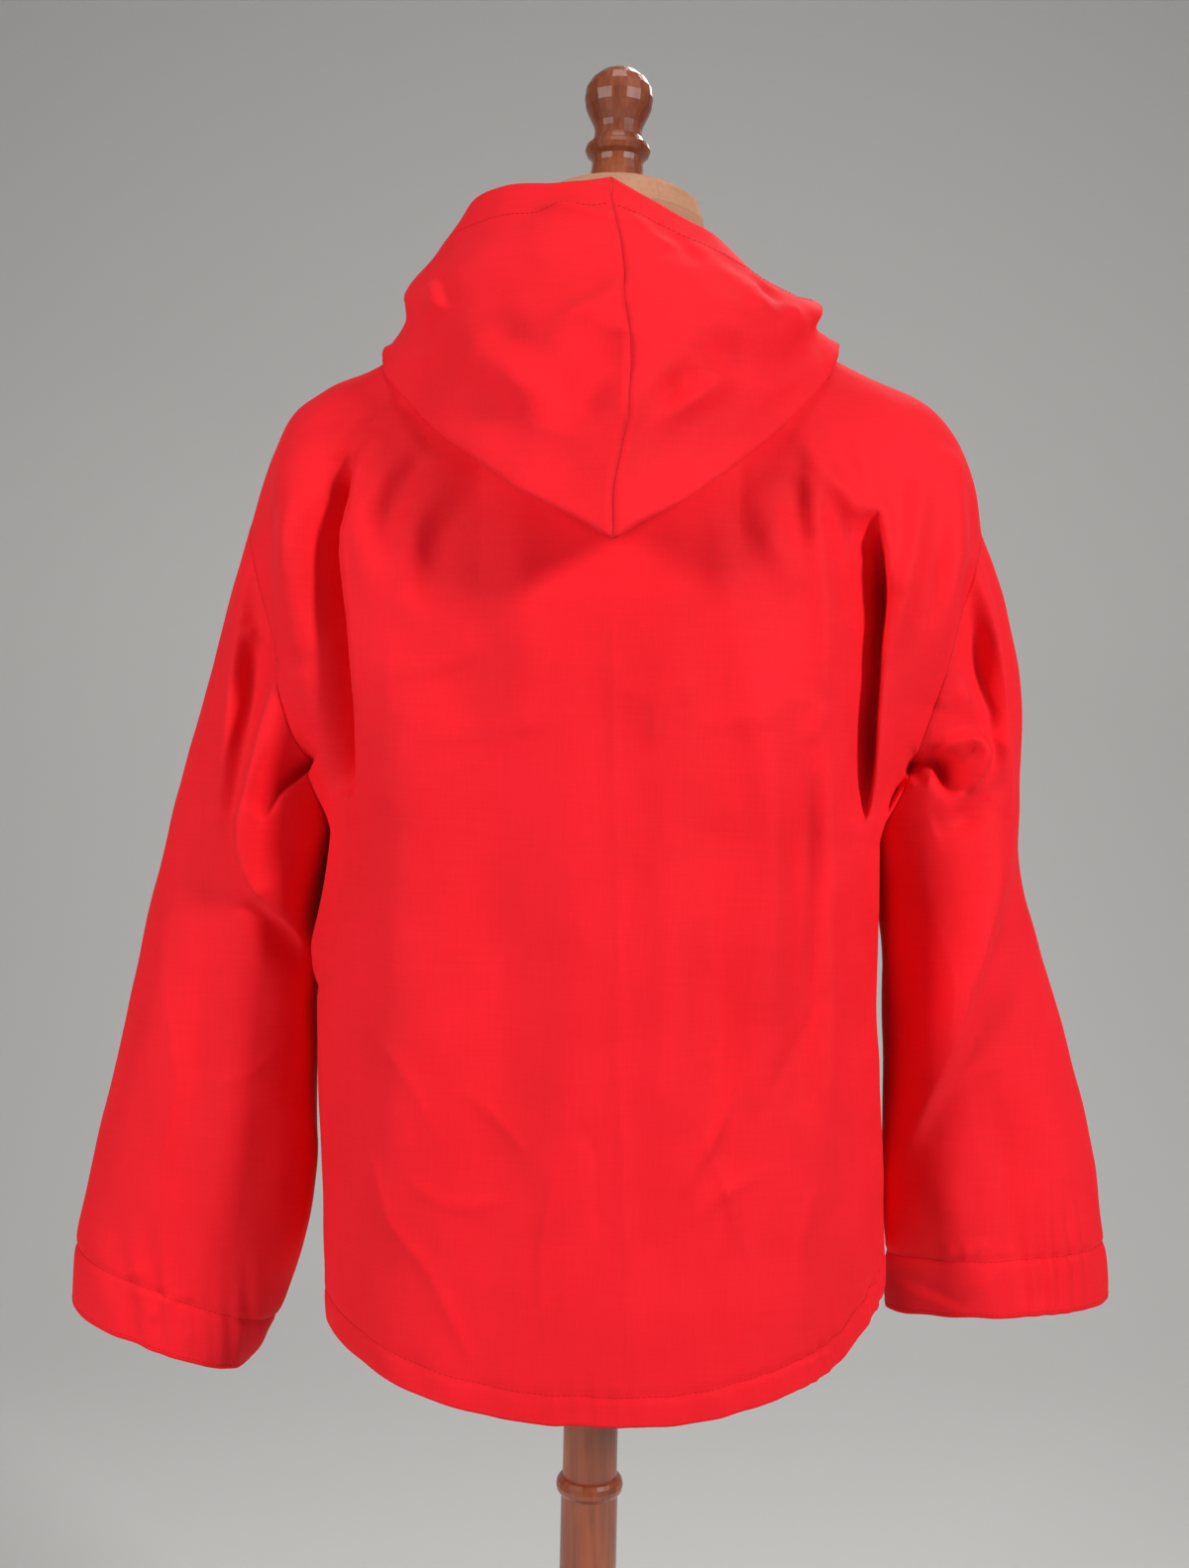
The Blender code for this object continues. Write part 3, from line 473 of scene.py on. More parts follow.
# ---------------------------------------------------------------- the cloth's surfaces
def quarter(power, wide, deep):
    """How a section's place across (0 to 1) and its depth (1 to 0) go with the share of its length."""
    angle = np.linspace(0, math.pi / 2, 400)
    across = np.sin(angle) ** (2 / power)
    depth = np.cos(angle) ** (2 / power)
    length = np.concatenate([[0], np.cumsum(np.hypot(np.diff(across) * wide, np.diff(depth) * deep))])
    return length / length[-1], across, depth


SHARE, ACROSS, DEPTH = quarter(RING_POWER, UNDERARM_X, CHEST_DEEP)


def neckline(angle):
    """The neckline at an angle in degrees round from the centre back, on the right-hand side."""
    turn = np.radians(angle)
    front = np.cos(turn) < 0
    y = -np.cos(turn) * np.where(front, NECK_FRONT, NECK_BACK)
    low = np.where(front, NECK_Z["front"], NECK_Z["back"])
    z = low + (NECK_Z["side"] - low) * np.sin(turn) ** 2
    x = np.maximum(NECK_WIDE * np.sin(turn), np.where(front, SLIT_GAP / 2, 0))
    return np.stack([x, y, z], axis=-1)


def panel_points(face, across, rows_low, rows_high):
    """A body panel as rows of points: the low rows reach the underarm, the high ones the shoulder."""
    side = np.where(across < 0, -1, 1)
    share = np.abs(across)
    unit_x = np.interp(share, SHARE, ACROSS)
    unit_y = np.interp(share, SHARE, DEPTH)
    name = {-1: "back", 1: "front"}[face]
    hem = HEM.at(name, across)

    def level(z):
        wide = np.where(side < 0, BODY.at("left", z), BODY.at("right", z))
        return side * wide * unit_x, face * BODY.at(name, z) * unit_y

    rows = []
    for t in rows_low:
        z = hem + (UNDERARM_Z - hem) * t
        x, y = level(z)
        rows.append(np.stack([x, y, z], axis=-1))

    along = np.clip((share - NECK_SHARE) / (1 - NECK_SHARE), 0, 1)
    top_x = np.where(side < 0, SHOULDER.at("left_x", along), SHOULDER.at("right_x", along))
    top_z = np.where(side < 0, SHOULDER.at("left_z", along), SHOULDER.at("right_z", along))
    angle = np.clip(share / NECK_SHARE, 0, 1) * 90
    neck = neckline(angle if face < 0 else 180 - angle)
    neck[share == 0, 0] = 0
    at_neck = share < NECK_SHARE
    top_x = np.where(at_neck, neck[:, 0], top_x)
    top_y = np.where(at_neck, neck[:, 1], 0.0)
    top_z = np.where(at_neck, neck[:, 2], top_z)
    low_x, low_y = level(UNDERARM_Z + 0 * across)
    for t in rows_high:
        round_armhole = (1 - math.cos(math.pi * t)) / 2
        up = unit_y * math.sin(math.pi / 2 * t) + (1 - unit_y) * round_armhole
        over = (1 - np.clip(up, 0, 1) ** SHOULDER_POWER) ** (1 / SHOULDER_POWER)
        x = low_x + (side * top_x - low_x) * round_armhole
        y = top_y + (low_y - top_y) * over
        y += (1 - unit_y) * face * ARMHOLE_DEPTH * math.sin(math.pi * t)
        rows.append(np.stack([x, y, UNDERARM_Z + (top_z - UNDERARM_Z) * up], axis=-1))
    return np.array(rows)


def sleeve_points(name, along, angle):
    """A sleeve as rows of points round it, from the armhole to the cuff. Angle 0 is its outer edge."""
    side = {"left": -1, "right": 1}[name]
    sizes = SLEEVES[name]
    along = along[:, None]
    outer = np.stack([sizes.at("outer_x", along), sizes.at("outer_z", along)])
    inner = np.stack([sizes.at("inner_x", along), sizes.at("inner_z", along)])
    x, z = (outer + inner) / 2 + (outer - inner) / 2 * np.cos(angle)
    y = sizes.at("forward", along) - sizes.at("depth", along) * np.sin(angle)
    return np.stack([side * x, y, z], axis=-1)


def shoulder_height(x, y):
    """The height of the body's cloth near the neck, over the form's shoulders."""
    share = np.abs(x)
    seam = np.linspace(0, 1, 60)
    left, right = (
        np.interp(share, SHOULDER.at(f"{side}_x", seam), SHOULDER.at(f"{side}_z", seam))
        for side in ("left", "right")
    )
    top = np.where(x < 0, left, right)
    within = np.sqrt(np.clip(1 - (share / NECK_WIDE) ** 2, 0, 1))
    edge = within * np.where(y < 0, NECK_BACK, NECK_FRONT)
    low = np.where(y < 0, NECK_Z["back"], NECK_Z["front"])
    top = np.where(share < NECK_WIDE, low + (NECK_Z["side"] - low) * (1 - within**2), top)
    deep = CHEST_DEEP * np.clip(1 - (share / CHEST_WIDE) ** RING_POWER, 0.01, 1) ** (1 / RING_POWER)
    over = np.clip((np.abs(y) - edge) / (deep - edge), 0, 1)
    up = (1 - over**SHOULDER_POWER) ** (1 / SHOULDER_POWER)
    return UNDERARM_Z + (top - UNDERARM_Z) * up


def through(points, count):
    """Points evenly along smooth curves through the given ones, which lie along the first axis."""
    steps = np.linalg.norm(np.diff(points[:, 0], axis=0), axis=-1)
    keys = np.concatenate([[0], np.cumsum(np.sqrt(steps))])
    curve = Table("key value", *zip(keys, keys))
    fine = np.linspace(0, keys[-1], 40 * len(points))
    line = np.empty((len(fine),) + points.shape[1:])
    for index in np.ndindex(points.shape[1:]):
        curve.columns["value"] = points[(slice(None),) + index]
        line[(slice(None),) + index] = curve.at("value", fine)
    result = np.empty((count,) + points.shape[1:])
    for i in range(points.shape[1]):
        length = np.concatenate([[0], np.cumsum(np.linalg.norm(np.diff(line[:, i], axis=0), axis=1))])
        for axis in range(3):
            result[:, i, axis] = np.interp(np.linspace(0, length[-1], count), length, line[:, i, axis])
    return result


def hood_points(name, angle, count):
    """A hood half as rows of points from the neckline, round the lower fold, to the face edge."""
    side = {"left": -1, "right": 1}[name]
    sizes = HOODS[name]
    fold, outer, edge = (
        np.stack([sizes.at(f"{place}_{axis}", angle) for axis in "xyz"], axis=-1)
        for place in ("fold", "outer", "edge")
    )
    start = neckline(angle)
    shrink = np.clip((HOOD_END - angle) / 60, 0.35, 1)[:, None]
    outward = start * (1, 1, 0)
    outward /= np.linalg.norm(outward, axis=1, keepdims=True)
    up = np.array([0, 0, 1.0])
    stand = start + shrink * (HOOD_STAND * up + HOOD_FLARE * outward)
    inward = (start + edge) / 2 - fold
    reach = np.linalg.norm(inward, axis=1, keepdims=True)
    inward /= reach
    across = np.stack([np.cos(np.radians(angle)), np.sin(np.radians(angle)), 0 * angle], axis=-1)
    off = np.cross(inward, across)
    off *= np.sign((off * outward).sum(axis=1, keepdims=True) + 1e-9)
    back = np.minimum(0.03, reach * 0.3) * inward
    under = (stand + fold) / 2
    lines = [start, stand, under, fold + back - HOOD_LOFT * shrink * off, fold]
    lines += [fold + back + HOOD_LOFT * shrink * off, outer, edge]
    rows = through(np.array(lines), count)
    rows[..., 0] *= side
    clear = HOOD_CLEAR + HOOD_RISE * np.linspace(0, 1, count)[:, None] * np.clip(shrink[:, 0], 0, 1)
    lowest = shoulder_height(rows[..., 0], rows[..., 1]) + clear
    started = np.clip(np.arange(count) / (0.17 * count), 0, 1)[:, None]
    raised = np.maximum(rows[..., 2], lowest * started + rows[..., 2] * (1 - started))
    rows[..., 2] = raised
    return rows


def hood_folded(rows):
    """The hood with its folds on the outer layer, and its seam's wander."""
    x, y, z = rows[..., 0], rows[..., 1], rows[..., 2]
    outer = np.clip((np.linspace(0, 1, len(rows))[:, None] - 0.52) / 0.08, 0, 1)
    rise = rise_of(HOOD_FOLDS, x, z) * outer
    radius = np.hypot(x, y)
    moved = rows.copy()
    moved[..., 0] += rise * x / radius * 0.6
    moved[..., 1] += rise * np.where(y < 0, -1, 1) * np.abs(y) / radius
    wander = KEEL.at("shift", z) * np.exp(-((x / 0.05) ** 2)) * outer
    moved[..., 0] += wander
    lifted = wandered(moved, (14, 14, 14), 0.0035, 3.1)
    lifted = wandered(lifted, (42, 42, 42), 0.0010, 9.2)
    start = np.clip(np.arange(len(rows)) / 8, 0, 1)[:, None, None]
    seat = settled(rows[:1])[0]
    return lifted * start + (rows + (seat - rows[0])) * (1 - start)


def casing(height, run, deep):
    """How far a casing's cloth stands out at a height over its edge: a roll, a sewn groove, puckers."""
    roll = CASING_ROLL * np.exp(-(((height - 0.45 * deep) / (0.42 * deep)) ** 4))
    groove = -STITCH_GROOVE * np.exp(-(((height - deep) / GROOVE_REACH) ** 2))
    near = np.exp(-(((height - 0.8 * deep) / (0.9 * deep)) ** 2))
    # waves about 19 mm apart, unevenly spaced and unevenly tall
    ripple = np.sin(330 * run + 4 * np.sin(43 * run) + 60 * height) * (0.6 + 0.4 * np.sin(71 * run))
    return roll + groove + PUCKER * near * ripple


def hemmed(points):
    """A panel's points with the casing along its hem."""
    height = points[..., 2] - points[:1, :, 2]
    x = points[..., 0]
    y = points[..., 1]
    # straight out from the section, whose outline is a rounded ring
    out_x = np.sign(x) * np.abs(x / UNDERARM_X) ** (RING_POWER - 1) / UNDERARM_X
    out_y = np.sign(y) * np.abs(y / CHEST_DEEP) ** (RING_POWER - 1) / CHEST_DEEP
    size = np.maximum(np.hypot(out_x, out_y), 1e-9)
    # the hem puckers more towards the right
    pulled = 0.5 + 0.9 * np.clip(x / 0.2, 0, 1)
    lift = casing(height, x + y, HEM_CASING) * np.where(height > 2.5 * HEM_CASING, 0, 1)
    lift *= np.clip(pulled, 0.5, 1.3)
    moved = points.copy()
    moved[..., 0] += lift * out_x / size
    moved[..., 1] += lift * out_y / size
    return moved


def cuffed(points):
    """A sleeve's points with the casing at its cuff, and its crinkles."""
    steps = np.linalg.norm(np.diff(points, axis=0), axis=-1)
    height = np.vstack([np.cumsum(steps[::-1], axis=0)[::-1], np.zeros(points.shape[1])])
    out = points - points.mean(axis=1, keepdims=True)
    out[..., 2] = 0
    out /= np.linalg.norm(out, axis=-1, keepdims=True)
    run = points[..., 0] + 0.7 * points[..., 1]
    lift = CUFF_FULLNESS * casing(height, run, CUFF_CASING) * np.where(height > 2.2 * CUFF_CASING, 0, 1)
    return points + lift[..., None] * out


# ---------------------------------------------------------------- building the shells
def grid(rows, columns, closed=False, flipped=False):
    """The faces of a grid of points, with its rows one after another in the list of points."""
    r = np.arange(rows - 1)[:, None] * columns
    c = np.arange(columns if closed else columns - 1)[None, :]
    d = (c + 1) % columns
    faces = np.stack([r + c, r + d, r + columns + d, r + columns + c], axis=-1).reshape(-1, 4)
    return faces[:, ::-1] if flipped else faces


def with_slit(points, faces, columns, face_rows):
    """The front cut open down its middle column, from the neckline to the slit's foot."""
    middle = columns // 2
    cut = np.array(face_rows) * columns + middle
    top = points[cut[-1]][2]
    foot = points[cut[0] - columns][2]
    open_by = SLIT_GAP / 2 * (points[cut][:, 2] - foot) / (top - foot)
    copies = points[cut].copy()
    points = points.copy()
    points[cut, 0] -= open_by
    copies[:, 0] += open_by
    names = np.arange(len(points))
    names[cut] = len(points) + np.arange(len(cut))
    right = (faces % columns).max(axis=1) > middle
    faces = np.where(right[:, None], names[faces], faces)
    return np.vstack([points, copies]), faces


def normals_of(points, faces):
    """The direction out of the cloth at each point, the mean of the faces there."""
    a, b, c, d = (points[faces[:, i]] for i in range(4))
    flat = np.cross(c - a, d - b)
    out = np.zeros_like(points)
    for i in range(4):
        np.add.at(out, faces[:, i], flat)
    return out / np.maximum(np.linalg.norm(out, axis=1, keepdims=True), 1e-12)


def place(point):
    """A point's name, the same for pieces that share it."""
    return tuple(int(round(v * 20000)) for v in point)


def free_edges(faces):
    """The edges with a face on one side only, each in its face's direction."""
    pairs = [(int(a), int(b)) for i in range(4) for a, b in zip(faces[:, i], faces[:, (i + 1) % 4])]
    known = set(pairs)
    return [(a, b) for a, b in pairs if (b, a) not in known]


def shell(name, points, faces, shared, edges):
    """A closed shell: the faces, drawn back from their seams, a copy inside them, and a rim."""
    own = normals_of(points, faces)
    out = own.copy()
    for index in {i for edge in edges for i in edge}:
        mean = shared[place(points[index])]
        mean = mean / np.linalg.norm(mean)
        if mean @ own[index] > 0.3:
            out[index] = mean
    inward = {}
    for a, b in edges:
        direction = np.cross(out[a] + out[b], points[b] - points[a])
        direction /= np.linalg.norm(direction)
        inward.setdefault(a, []).append(direction)
        inward.setdefault(b, []).append(direction)
    drawn = points.copy()
    for index, (one, two) in inward.items():
        drawn[index] += SEAM * 0.55 * (one + two) / max(1 + one @ two, 0.5)
    inside = drawn - CLOTH * out
    count = len(points)
    rim = [(b, a, a + count, b + count) for a, b in edges]
    walls = faces.tolist() + (faces[:, ::-1] + count).tolist() + rim
    mesh = bpy.data.meshes.new(name)
    mesh.from_pydata(np.vstack([drawn, inside]).tolist(), [], walls)
    mesh.shade_smooth()
    piece = bpy.data.objects.new(name, mesh)
    bpy.context.scene.collection.objects.link(piece)
    return piece


def make_garment():
    """The six cloth pieces. Their seams share points before they are drawn apart."""
    neck = np.linspace(0, NECK_SHARE, NECK_COLUMNS + 1)
    right = np.concatenate([neck, np.linspace(NECK_SHARE, 1, SHOULDER_COLUMNS + 1)[1:]])
    across = np.concatenate([-right[:0:-1], right])
    at_hem = 0.085 * np.linspace(0, 1, EDGE_ROWS + 1)[:-1]
    low = np.concatenate([at_hem, np.linspace(0.085, 1, PANEL_ROWS - EDGE_ROWS + 1)[:-1]])
    high = np.linspace(0, 1, ARMHOLE_ROWS + 1)
    rows = PANEL_ROWS + ARMHOLE_ROWS + 1
    columns = len(across)
    grids = {}
    pieces = {}
    grids["back_panel"] = hemmed(settled(panel_points(-1, across, low, high)))
    pieces["back_panel"] = (grids["back_panel"].reshape(-1, 3), grid(rows, columns))
    grids["front_panel"] = hemmed(settled(panel_points(1, across, low, high)))
    middle = grids["front_panel"][:, columns // 2]
    cut_rows = [r for r in range(rows) if middle[r, 2] > middle[-1, 2] - SLIT_LENGTH]
    faces = grid(rows, columns, flipped=True)
    pieces["front_panel"] = with_slit(grids["front_panel"].reshape(-1, 3), faces, columns, cut_rows)
    angle = np.arange(2 * ARMHOLE_ROWS) * math.pi / ARMHOLE_ROWS
    for side in ("left", "right"):
        at_cuff = np.linspace(0.90, 1, 2 * EDGE_ROWS + 1)
        along = np.concatenate([np.linspace(0, 0.90, SLEEVE_ROWS - 2 * EDGE_ROWS + 1)[:-1], at_cuff])
        points = cuffed(settled(sleeve_points(side, along, angle)))
        grids[f"sleeve_{side}"] = points
        faces = grid(SLEEVE_ROWS + 1, len(angle), closed=True, flipped=side == "left")
        pieces[f"sleeve_{side}"] = (points.reshape(-1, 3), faces)
    for side in ("left", "right"):
        turns = np.linspace(0, HOOD_END, 2 * NECK_COLUMNS + 1)
        points = hood_folded(hood_points(side, turns, HOOD_ROWS + 1))
        grids[f"hood_{side}"] = points
        faces = grid(HOOD_ROWS + 1, 2 * NECK_COLUMNS + 1, flipped=side == "left")
        pieces[f"hood_{side}"] = (points.reshape(-1, 3), faces)
    shared = {}
    borders = {}
    for name, (points, faces) in pieces.items():
        out = normals_of(points, faces)
        borders[name] = free_edges(faces)
        for index in {i for edge in borders[name] for i in edge}:
            key = place(points[index])
            shared[key] = shared.get(key, 0) + out[index]
    made = {}
    for name, (points, faces) in pieces.items():
        made[name] = shell(f"{name}_cloth", points, faces, shared, borders[name])
    return made, grids


# ---------------------------------------------------------------- the stitching
STITCH = 0.0026
STITCH_STEP = 0.0036
THREAD = 0.00022


def sewn_line(rows, inset):
    """The points of a stitching line that keeps its distance from the first row, and the way out."""
    steps = np.linalg.norm(np.diff(rows, axis=0), axis=-1)
    gone = np.vstack([np.zeros(rows.shape[1]), np.cumsum(steps, axis=0)])
    columns = range(rows.shape[1])
    line = np.array(
        [[np.interp(inset, gone[:, c], rows[:, c, axis]) for axis in range(3)] for c in columns]
    )
    upward = np.array([rows[np.searchsorted(gone[:, c], inset) + 1, c] for c in columns]) - line
    out = np.cross(np.gradient(line, axis=0), upward)
    out /= np.linalg.norm(out, axis=1, keepdims=True)
    away = ((line - rows.mean(axis=(0, 1))) * out).sum()
    return line, out * math.copysign(1, away)


def stitches(name, lines):
    """Rows of short raised stitches along lines of points, as one mesh."""
    corners = []
    faces = []
    around = np.arange(6) * math.pi / 3
    for line, out in lines:
        gone = np.concatenate([[0], np.cumsum(np.linalg.norm(np.diff(line, axis=0), axis=1))])
        for start in np.arange(STITCH_STEP, gone[-1] - STITCH_STEP, STITCH_STEP):
            first_end = np.array([np.interp(start, gone, line[:, axis]) for axis in range(3)])
            last_end = np.array([np.interp(start + STITCH, gone, line[:, axis]) for axis in range(3)])
            lift = np.array([np.interp(start, gone, out[:, axis]) for axis in range(3)])
            along = last_end - first_end
            side = np.cross(along, lift)
            side /= np.linalg.norm(side)
            first = len(corners)
            for share, size in ((0.0, 0.4), (0.2, 1.0), (0.8, 1.0), (1.0, 0.4)):
                middle = first_end + share * along + 0.6 * THREAD * size * lift
                for angle in around:
                    spoke = math.cos(angle) * side + math.sin(angle) * lift
                    corners.append(middle + size * THREAD * spoke)
            for ring in range(3):
                for k in range(6):
                    a = first + 6 * ring + k
                    b = first + 6 * ring + (k + 1) % 6
                    faces.append((a, b, b + 6, a + 6))
            faces.append(tuple(first + k for k in range(5, -1, -1)))
            faces.append(tuple(first + 18 + k for k in range(6)))
    mesh = bpy.data.meshes.new(name)
    mesh.from_pydata([tuple(c) for c in corners], [], faces)
    mesh.shade_smooth()
    piece = bpy.data.objects.new(name, mesh)
    bpy.context.scene.collection.objects.link(piece)
    return piece


def make_stitching(grids):
    """The stitching of the hem's and cuffs' casings, the hood's channel and the neck slit."""
    sewn = {}
    for node in ("back_panel", "front_panel"):
        sewn[node] = [sewn_line(grids[node], HEM_CASING)]
    for side in ("left", "right"):
        rows = np.concatenate([grids[f"sleeve_{side}"][::-1], grids[f"sleeve_{side}"][::-1, :1]], axis=1)
        sewn[f"sleeve_{side}"] = [sewn_line(rows, CUFF_CASING), sewn_line(rows, 0.003)]
        sewn[f"hood_{side}"] = [sewn_line(grids[f"hood_{side}"][::-1], FACE_CHANNEL)]
    front = grids["front_panel"]
    middle = front.shape[1] // 2
    for step in (-SLIT_SEAM, SLIT_SEAM):
        line = front[front[:, middle, 2] > front[-1, middle, 2] - SLIT_LENGTH, middle + step]
        sewn["front_panel"].append((line, np.tile((0.0, 1.0, 0.0), (len(line), 1))))
    return {node: stitches(f"{node}_stitches", lines) for node, lines in sewn.items()}


# ---------------------------------------------------------------- materials
def group(name, inputs, outputs):
    """An empty node group with the given sockets, and its input and output nodes."""
    tree = bpy.data.node_groups.new(name, "ShaderNodeTree")
    for socket, kind, value in inputs:
        made = tree.interface.new_socket(socket, in_out="INPUT", socket_type=kind)
        if value is not None:
            made.default_value = value
    for socket, kind in outputs:
        tree.interface.new_socket(socket, in_out="OUTPUT", socket_type=kind)
    return tree, tree.nodes.new("NodeGroupInput"), tree.nodes.new("NodeGroupOutput")


def sum_of(tree, kind, one, two):
    """A maths node on two sockets or numbers."""
    node = tree.nodes.new("ShaderNodeMath")
    node.operation = kind
    for socket, value in zip(node.inputs, (one, two)):
        if isinstance(value, (int, float)):
            socket.default_value = value
        else:
            tree.links.new(value, socket)
    return node.outputs[0]


def make_weave():
    """Crossed threads: their height, and a mask that is uneven from thread to thread."""
    sockets = (("Vector", "NodeSocketVector", None), ("Threads", "NodeSocketFloat", 1000.0))
    results = (("Height", "NodeSocketFloat"), ("Slub", "NodeSocketFloat"))
    tree, given, made = group("woven_threads", sockets, results)
    heights = []
    for direction in ("X", "Z"):
        wave = tree.nodes.new("ShaderNodeTexWave")
        wave.bands_direction = direction
        wave.inputs["Distortion"].default_value = 0.6
        tree.links.new(given.outputs["Vector"], wave.inputs["Vector"])
        tree.links.new(sum_of(tree, "MULTIPLY", given.outputs["Threads"], 0.314), wave.inputs["Scale"])
        heights.append(wave.outputs["Fac"])
    tree.links.new(sum_of(tree, "MULTIPLY", *heights), made.inputs["Height"])
    slubs = []
    for stretch in ((1.0, 1.0, 0.04), (0.04, 0.04, 1.0)):
        scale = tree.nodes.new("ShaderNodeVectorMath")
        scale.operation = "MULTIPLY"
        scale.inputs[1].default_value = stretch
        tree.links.new(given.outputs["Vector"], scale.inputs[0])
        noise_node = tree.nodes.new("ShaderNodeTexNoise")
        noise_node.inputs["Detail"].default_value = 1.0
        tree.links.new(scale.outputs[0], noise_node.inputs["Vector"])
        tree.links.new(sum_of(tree, "MULTIPLY", given.outputs["Threads"], 0.6), noise_node.inputs["Scale"])
        slubs.append(noise_node.outputs["Fac"])
    tree.links.new(sum_of(tree, "MULTIPLY", sum_of(tree, "ADD", *slubs), 0.5), made.inputs["Slub"])
    return tree


def make_wear():
    """Slow, soft unevenness: a mask for colour and roughness, and a height for slight crumples."""
    sockets = (("Vector", "NodeSocketVector", None), ("Scale", "NodeSocketFloat", 20.0))
    results = (("Mask", "NodeSocketFloat"), ("Height", "NodeSocketFloat"))
    tree, given, made = group("soft_wear", sockets, results)
    for size, output in ((1.0, "Mask"), (3.0, "Height")):
        noise_node = tree.nodes.new("ShaderNodeTexNoise")
        noise_node.inputs["Detail"].default_value = 3.0
        tree.links.new(given.outputs["Vector"], noise_node.inputs["Vector"])
        tree.links.new(sum_of(tree, "MULTIPLY", given.outputs["Scale"], size), noise_node.inputs["Scale"])
        tree.links.new(noise_node.outputs["Fac"], made.inputs[output])
    return tree


def new_material(name):
    """A node material with object coordinates, and its shader."""
    material = bpy.data.materials.new(name)
    material.use_nodes = True
    tree = material.node_tree
    place_node = tree.nodes.new("ShaderNodeTexCoord")
    return material, tree, tree.nodes["Principled BSDF"], place_node.outputs["Object"]


def use_group(tree, which, where, **values):
    node = tree.nodes.new("ShaderNodeGroup")
    node.node_tree = which
    tree.links.new(where, node.inputs["Vector"])
    for name, value in values.items():
        node.inputs[name].default_value = value
    return node


def blend(tree, mask, low, high, dark, light):
    """A colour that goes from dark to light as the mask goes from low to high."""
    ramp = tree.nodes.new("ShaderNodeValToRGB")
    ramp.color_ramp.elements[0].position = low
    ramp.color_ramp.elements[1].position = high
    ramp.color_ramp.elements[0].color = (*dark, 1)
    ramp.color_ramp.elements[1].color = (*light, 1)
    tree.links.new(mask, ramp.inputs[0])
    return ramp.outputs[0]


def bump(tree, height, strength, distance, under=None):
    node = tree.nodes.new("ShaderNodeBump")
    node.inputs["Strength"].default_value = strength
    node.inputs["Distance"].default_value = distance
    tree.links.new(height, node.inputs["Height"])
    if under is not None:
        tree.links.new(under, node.inputs["Normal"])
    return node.outputs[0]


def cloth_material(name, threads, dark, light, roughness, crumple):
    """Woven cloth: uneven threads, a slow change of colour, and slight crumples."""
    material, tree, shader, where = new_material(name)
    weave = use_group(tree, WEAVE, where, Threads=threads)
    wear = use_group(tree, WEAR, where, Scale=14.0)
    mixed = sum_of(tree, "ADD", sum_of(tree, "MULTIPLY", weave.outputs["Slub"], 0.7), wear.outputs["Mask"])
    colour = blend(tree, sum_of(tree, "MULTIPLY", mixed, 0.6), 0.35, 0.65, dark, light)
    tree.links.new(colour, shader.inputs["Base Color"])
    rough = sum_of(tree, "ADD", sum_of(tree, "MULTIPLY", wear.outputs["Mask"], 0.12), roughness - 0.06)
    tree.links.new(rough, shader.inputs["Roughness"])
    soft = bump(tree, wear.outputs["Height"], 0.5, crumple)
    tree.links.new(bump(tree, weave.outputs["Height"], 0.35, 0.12 / threads, soft), shader.inputs["Normal"])
    shader.inputs["Specular IOR Level"].default_value = 0.22
    shader.inputs["Sheen Weight"].default_value = 0.03
    shader.inputs["Sheen Roughness"].default_value = 0.4
    shader.inputs["Sheen Tint"].default_value = (1.0, 0.5, 0.5, 1)
    return material


def varnished_wood():
    """Reddish brown wood with its grain up the pole, under a clear coat."""
    material, tree, shader, where = new_material("varnished_wood")
    scale = tree.nodes.new("ShaderNodeVectorMath")
    scale.operation = "MULTIPLY"
    scale.inputs[1].default_value = (1.0, 1.0, 0.09)
    tree.links.new(where, scale.inputs[0])
    grain = tree.nodes.new("ShaderNodeTexNoise")
    grain.inputs["Scale"].default_value = 220.0
    grain.inputs["Detail"].default_value = 4.0
    grain.inputs["Distortion"].default_value = 0.6
    tree.links.new(scale.outputs[0], grain.inputs["Vector"])
    wear = use_group(tree, WEAR, where, Scale=9.0)
    mixed = sum_of(tree, "ADD", sum_of(tree, "MULTIPLY", grain.outputs["Fac"], 0.6), wear.outputs["Mask"])
    mask = sum_of(tree, "MULTIPLY", mixed, 0.62)
    colour = blend(tree, mask, 0.32, 0.68, (0.115, 0.020, 0.006), (0.42, 0.098, 0.026))
    tree.links.new(colour, shader.inputs["Base Color"])
    tree.links.new(bump(tree, grain.outputs["Fac"], 0.2, 0.0003), shader.inputs["Normal"])
    shader.inputs["Roughness"].default_value = 0.42
    shader.inputs["Coat Weight"].default_value = 0.6
    shader.inputs["Coat Roughness"].default_value = 0.14
    return material


def plain(name, colour, roughness):
    material, tree, shader, where = new_material(name)
    shader.inputs["Base Color"].default_value = (*colour, 1)
    shader.inputs["Roughness"].default_value = roughness
    return material


# ---------------------------------------------------------------- the stage
FLOOR_DEEP = 2.0  # from the stand to where the floor curves up into the backdrop
FLOOR_CURVE = 1.5
ROOM_LIGHT = 0.07
LIT_HEIGHT = 1.1  # the lamps point here, on the stand's axis
CAMERA_PLACE = (-0.007, -1.17, 1.11)
CAMERA_LEAN = -1.22  # degrees, about the way it looks


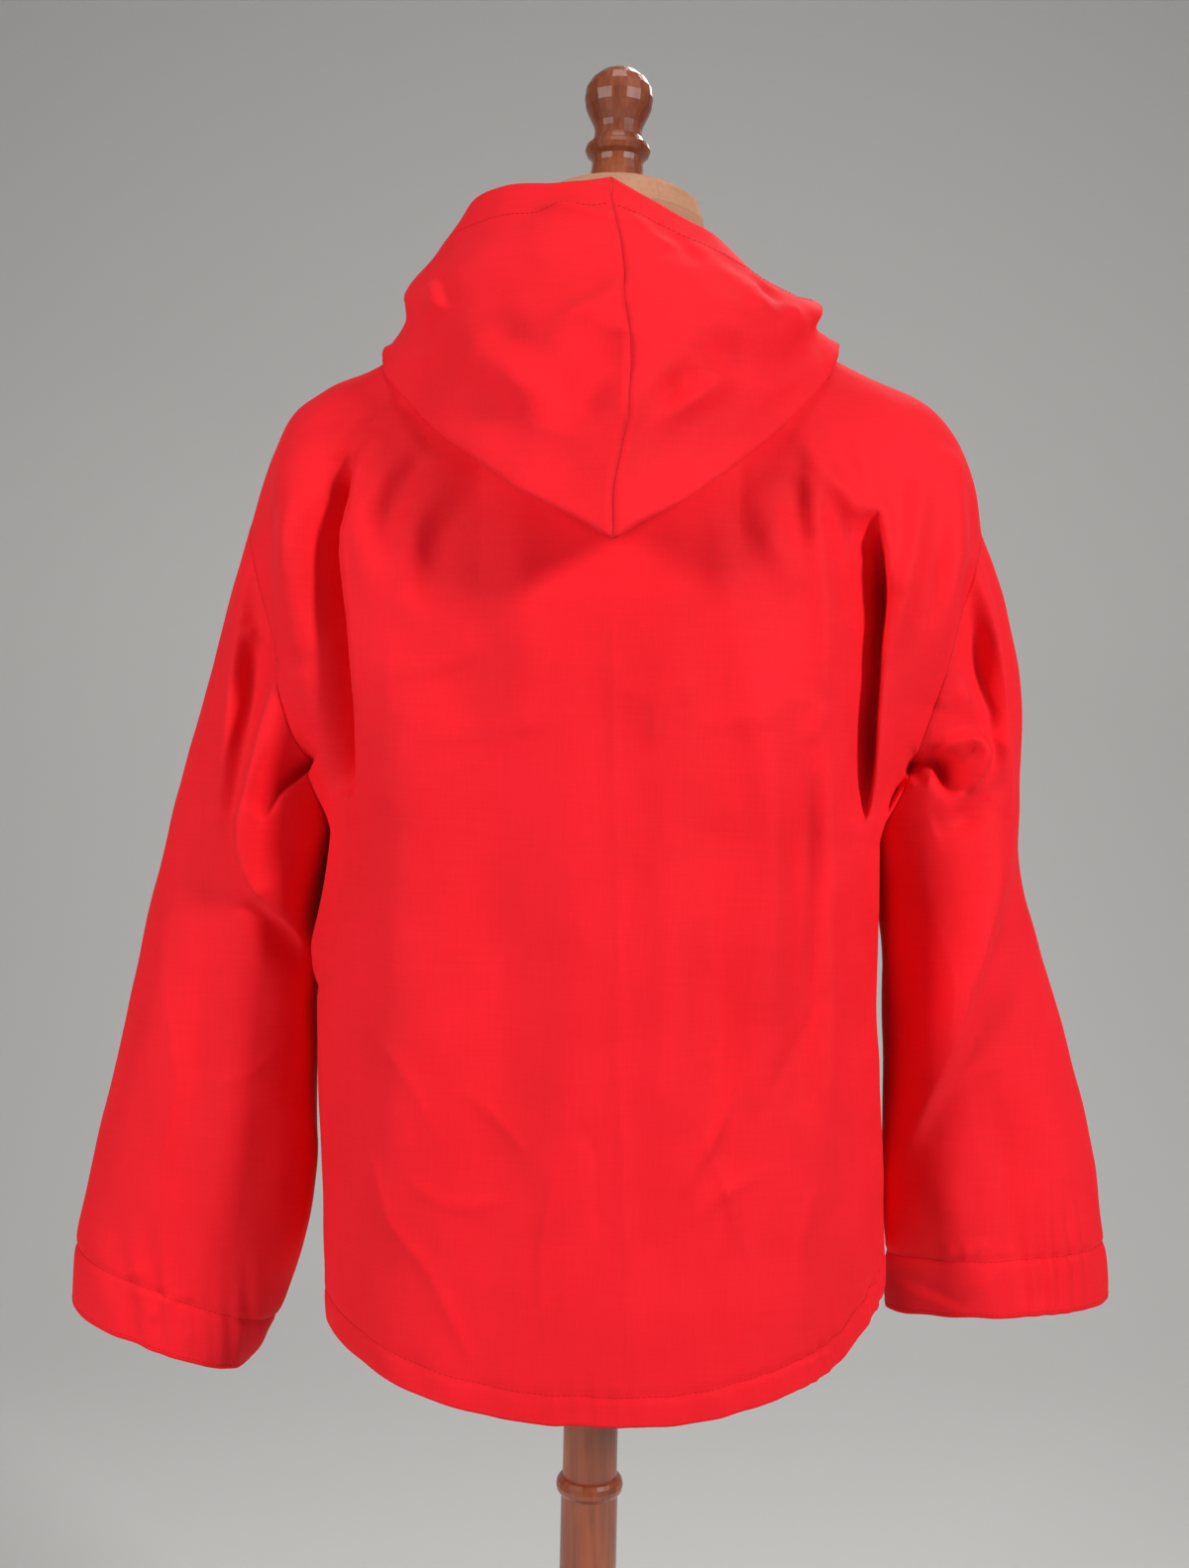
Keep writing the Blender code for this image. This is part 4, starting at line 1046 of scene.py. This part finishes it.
def make_stage():
    bpy.ops.object.select_all(action="DESELECT")
    bpy.ops.mesh.primitive_grid_add(x_subdivisions=2, y_subdivisions=120, size=24, location=(0, 0, 0))
    floor = bpy.context.object
    floor.name = "floor"
    for corner in floor.data.vertices:
        turned = min(max(corner.co.y - FLOOR_DEEP, 0) / FLOOR_CURVE, math.pi / 2)
        risen = max(corner.co.y - FLOOR_DEEP - FLOOR_CURVE * math.pi / 2, 0)
        if turned > 0:
            corner.co.y = FLOOR_DEEP + FLOOR_CURVE * math.sin(turned)
            corner.co.z = FLOOR_CURVE * (1 - math.cos(turned)) + risen
    floor.data.shade_smooth()
    floor.data.materials.append(plain("pale_floor", (0.80, 0.79, 0.77), 0.95))
    world = bpy.data.worlds.new("soft_room")
    bpy.context.scene.world = world
    world.use_nodes = True
    world.node_tree.nodes["Background"].inputs["Color"].default_value = (0.80, 0.80, 0.80, 1)
    world.node_tree.nodes["Background"].inputs["Strength"].default_value = ROOM_LIGHT
    lights = (
        ("right", (2.2, -1.9, 2.3), 0.5, 72),
        ("left", (-2.2, -1.9, 1.9), 0.7, 50),
        ("top", (0.0, -0.6, 3.4), 1.0, 12),
        ("front", (0.7, 1.8, 3.1), 1.0, 20),
    )
    for name, where, size, power in lights:
        light = bpy.data.lights.new(name, "AREA")
        light.shape = "SQUARE"
        light.size = size
        light.energy = power
        lamp = bpy.data.objects.new(name, light)
        lamp.location = where
        aim = Vector((0, 0, LIT_HEIGHT)) - Vector(where)
        lamp.rotation_euler = aim.to_track_quat("-Z", "Y").to_euler()
        bpy.context.scene.collection.objects.link(lamp)
    camera_data = bpy.data.cameras.new("camera")
    camera_data.sensor_fit = "VERTICAL"
    camera_data.sensor_height = 36
    camera_data.lens = 38
    camera = bpy.data.objects.new("camera", camera_data)
    camera.location = CAMERA_PLACE
    camera.rotation_euler = (math.radians(90), math.radians(CAMERA_LEAN), 0)
    bpy.context.scene.collection.objects.link(camera)
    bpy.context.scene.camera = camera
    bpy.context.scene.view_settings.view_transform = "Standard"


made, grids = make_garment()
sewn = make_stitching(grids)
WEAVE = make_weave()
WEAR = make_wear()
poplin = cloth_material("red_poplin", 1400.0, (0.80, 0.0055, 0.013), (0.90, 0.0085, 0.020), 0.78, 0.0010)
thread = cloth_material("red_thread", 3000.0, (0.50, 0.003, 0.008), (0.60, 0.005, 0.012), 0.7, 0.0001)
linen = cloth_material("beige_linen", 1500.0, (0.40, 0.185, 0.100), (0.56, 0.29, 0.175), 0.92, 0.0004)
wood = varnished_wood()
for node, piece in made.items():
    piece.data.materials.append(poplin)
    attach(piece, "root")
    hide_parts(node)
for node, piece in sewn.items():
    piece.data.materials.append(thread)
    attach(piece, "root")
for node, material in (("form", linen), ("finial", wood), ("pole", wood), ("base", wood)):
    bpy.data.objects[node].data.materials.clear()
    bpy.data.objects[node].data.materials.append(material)
make_stage()
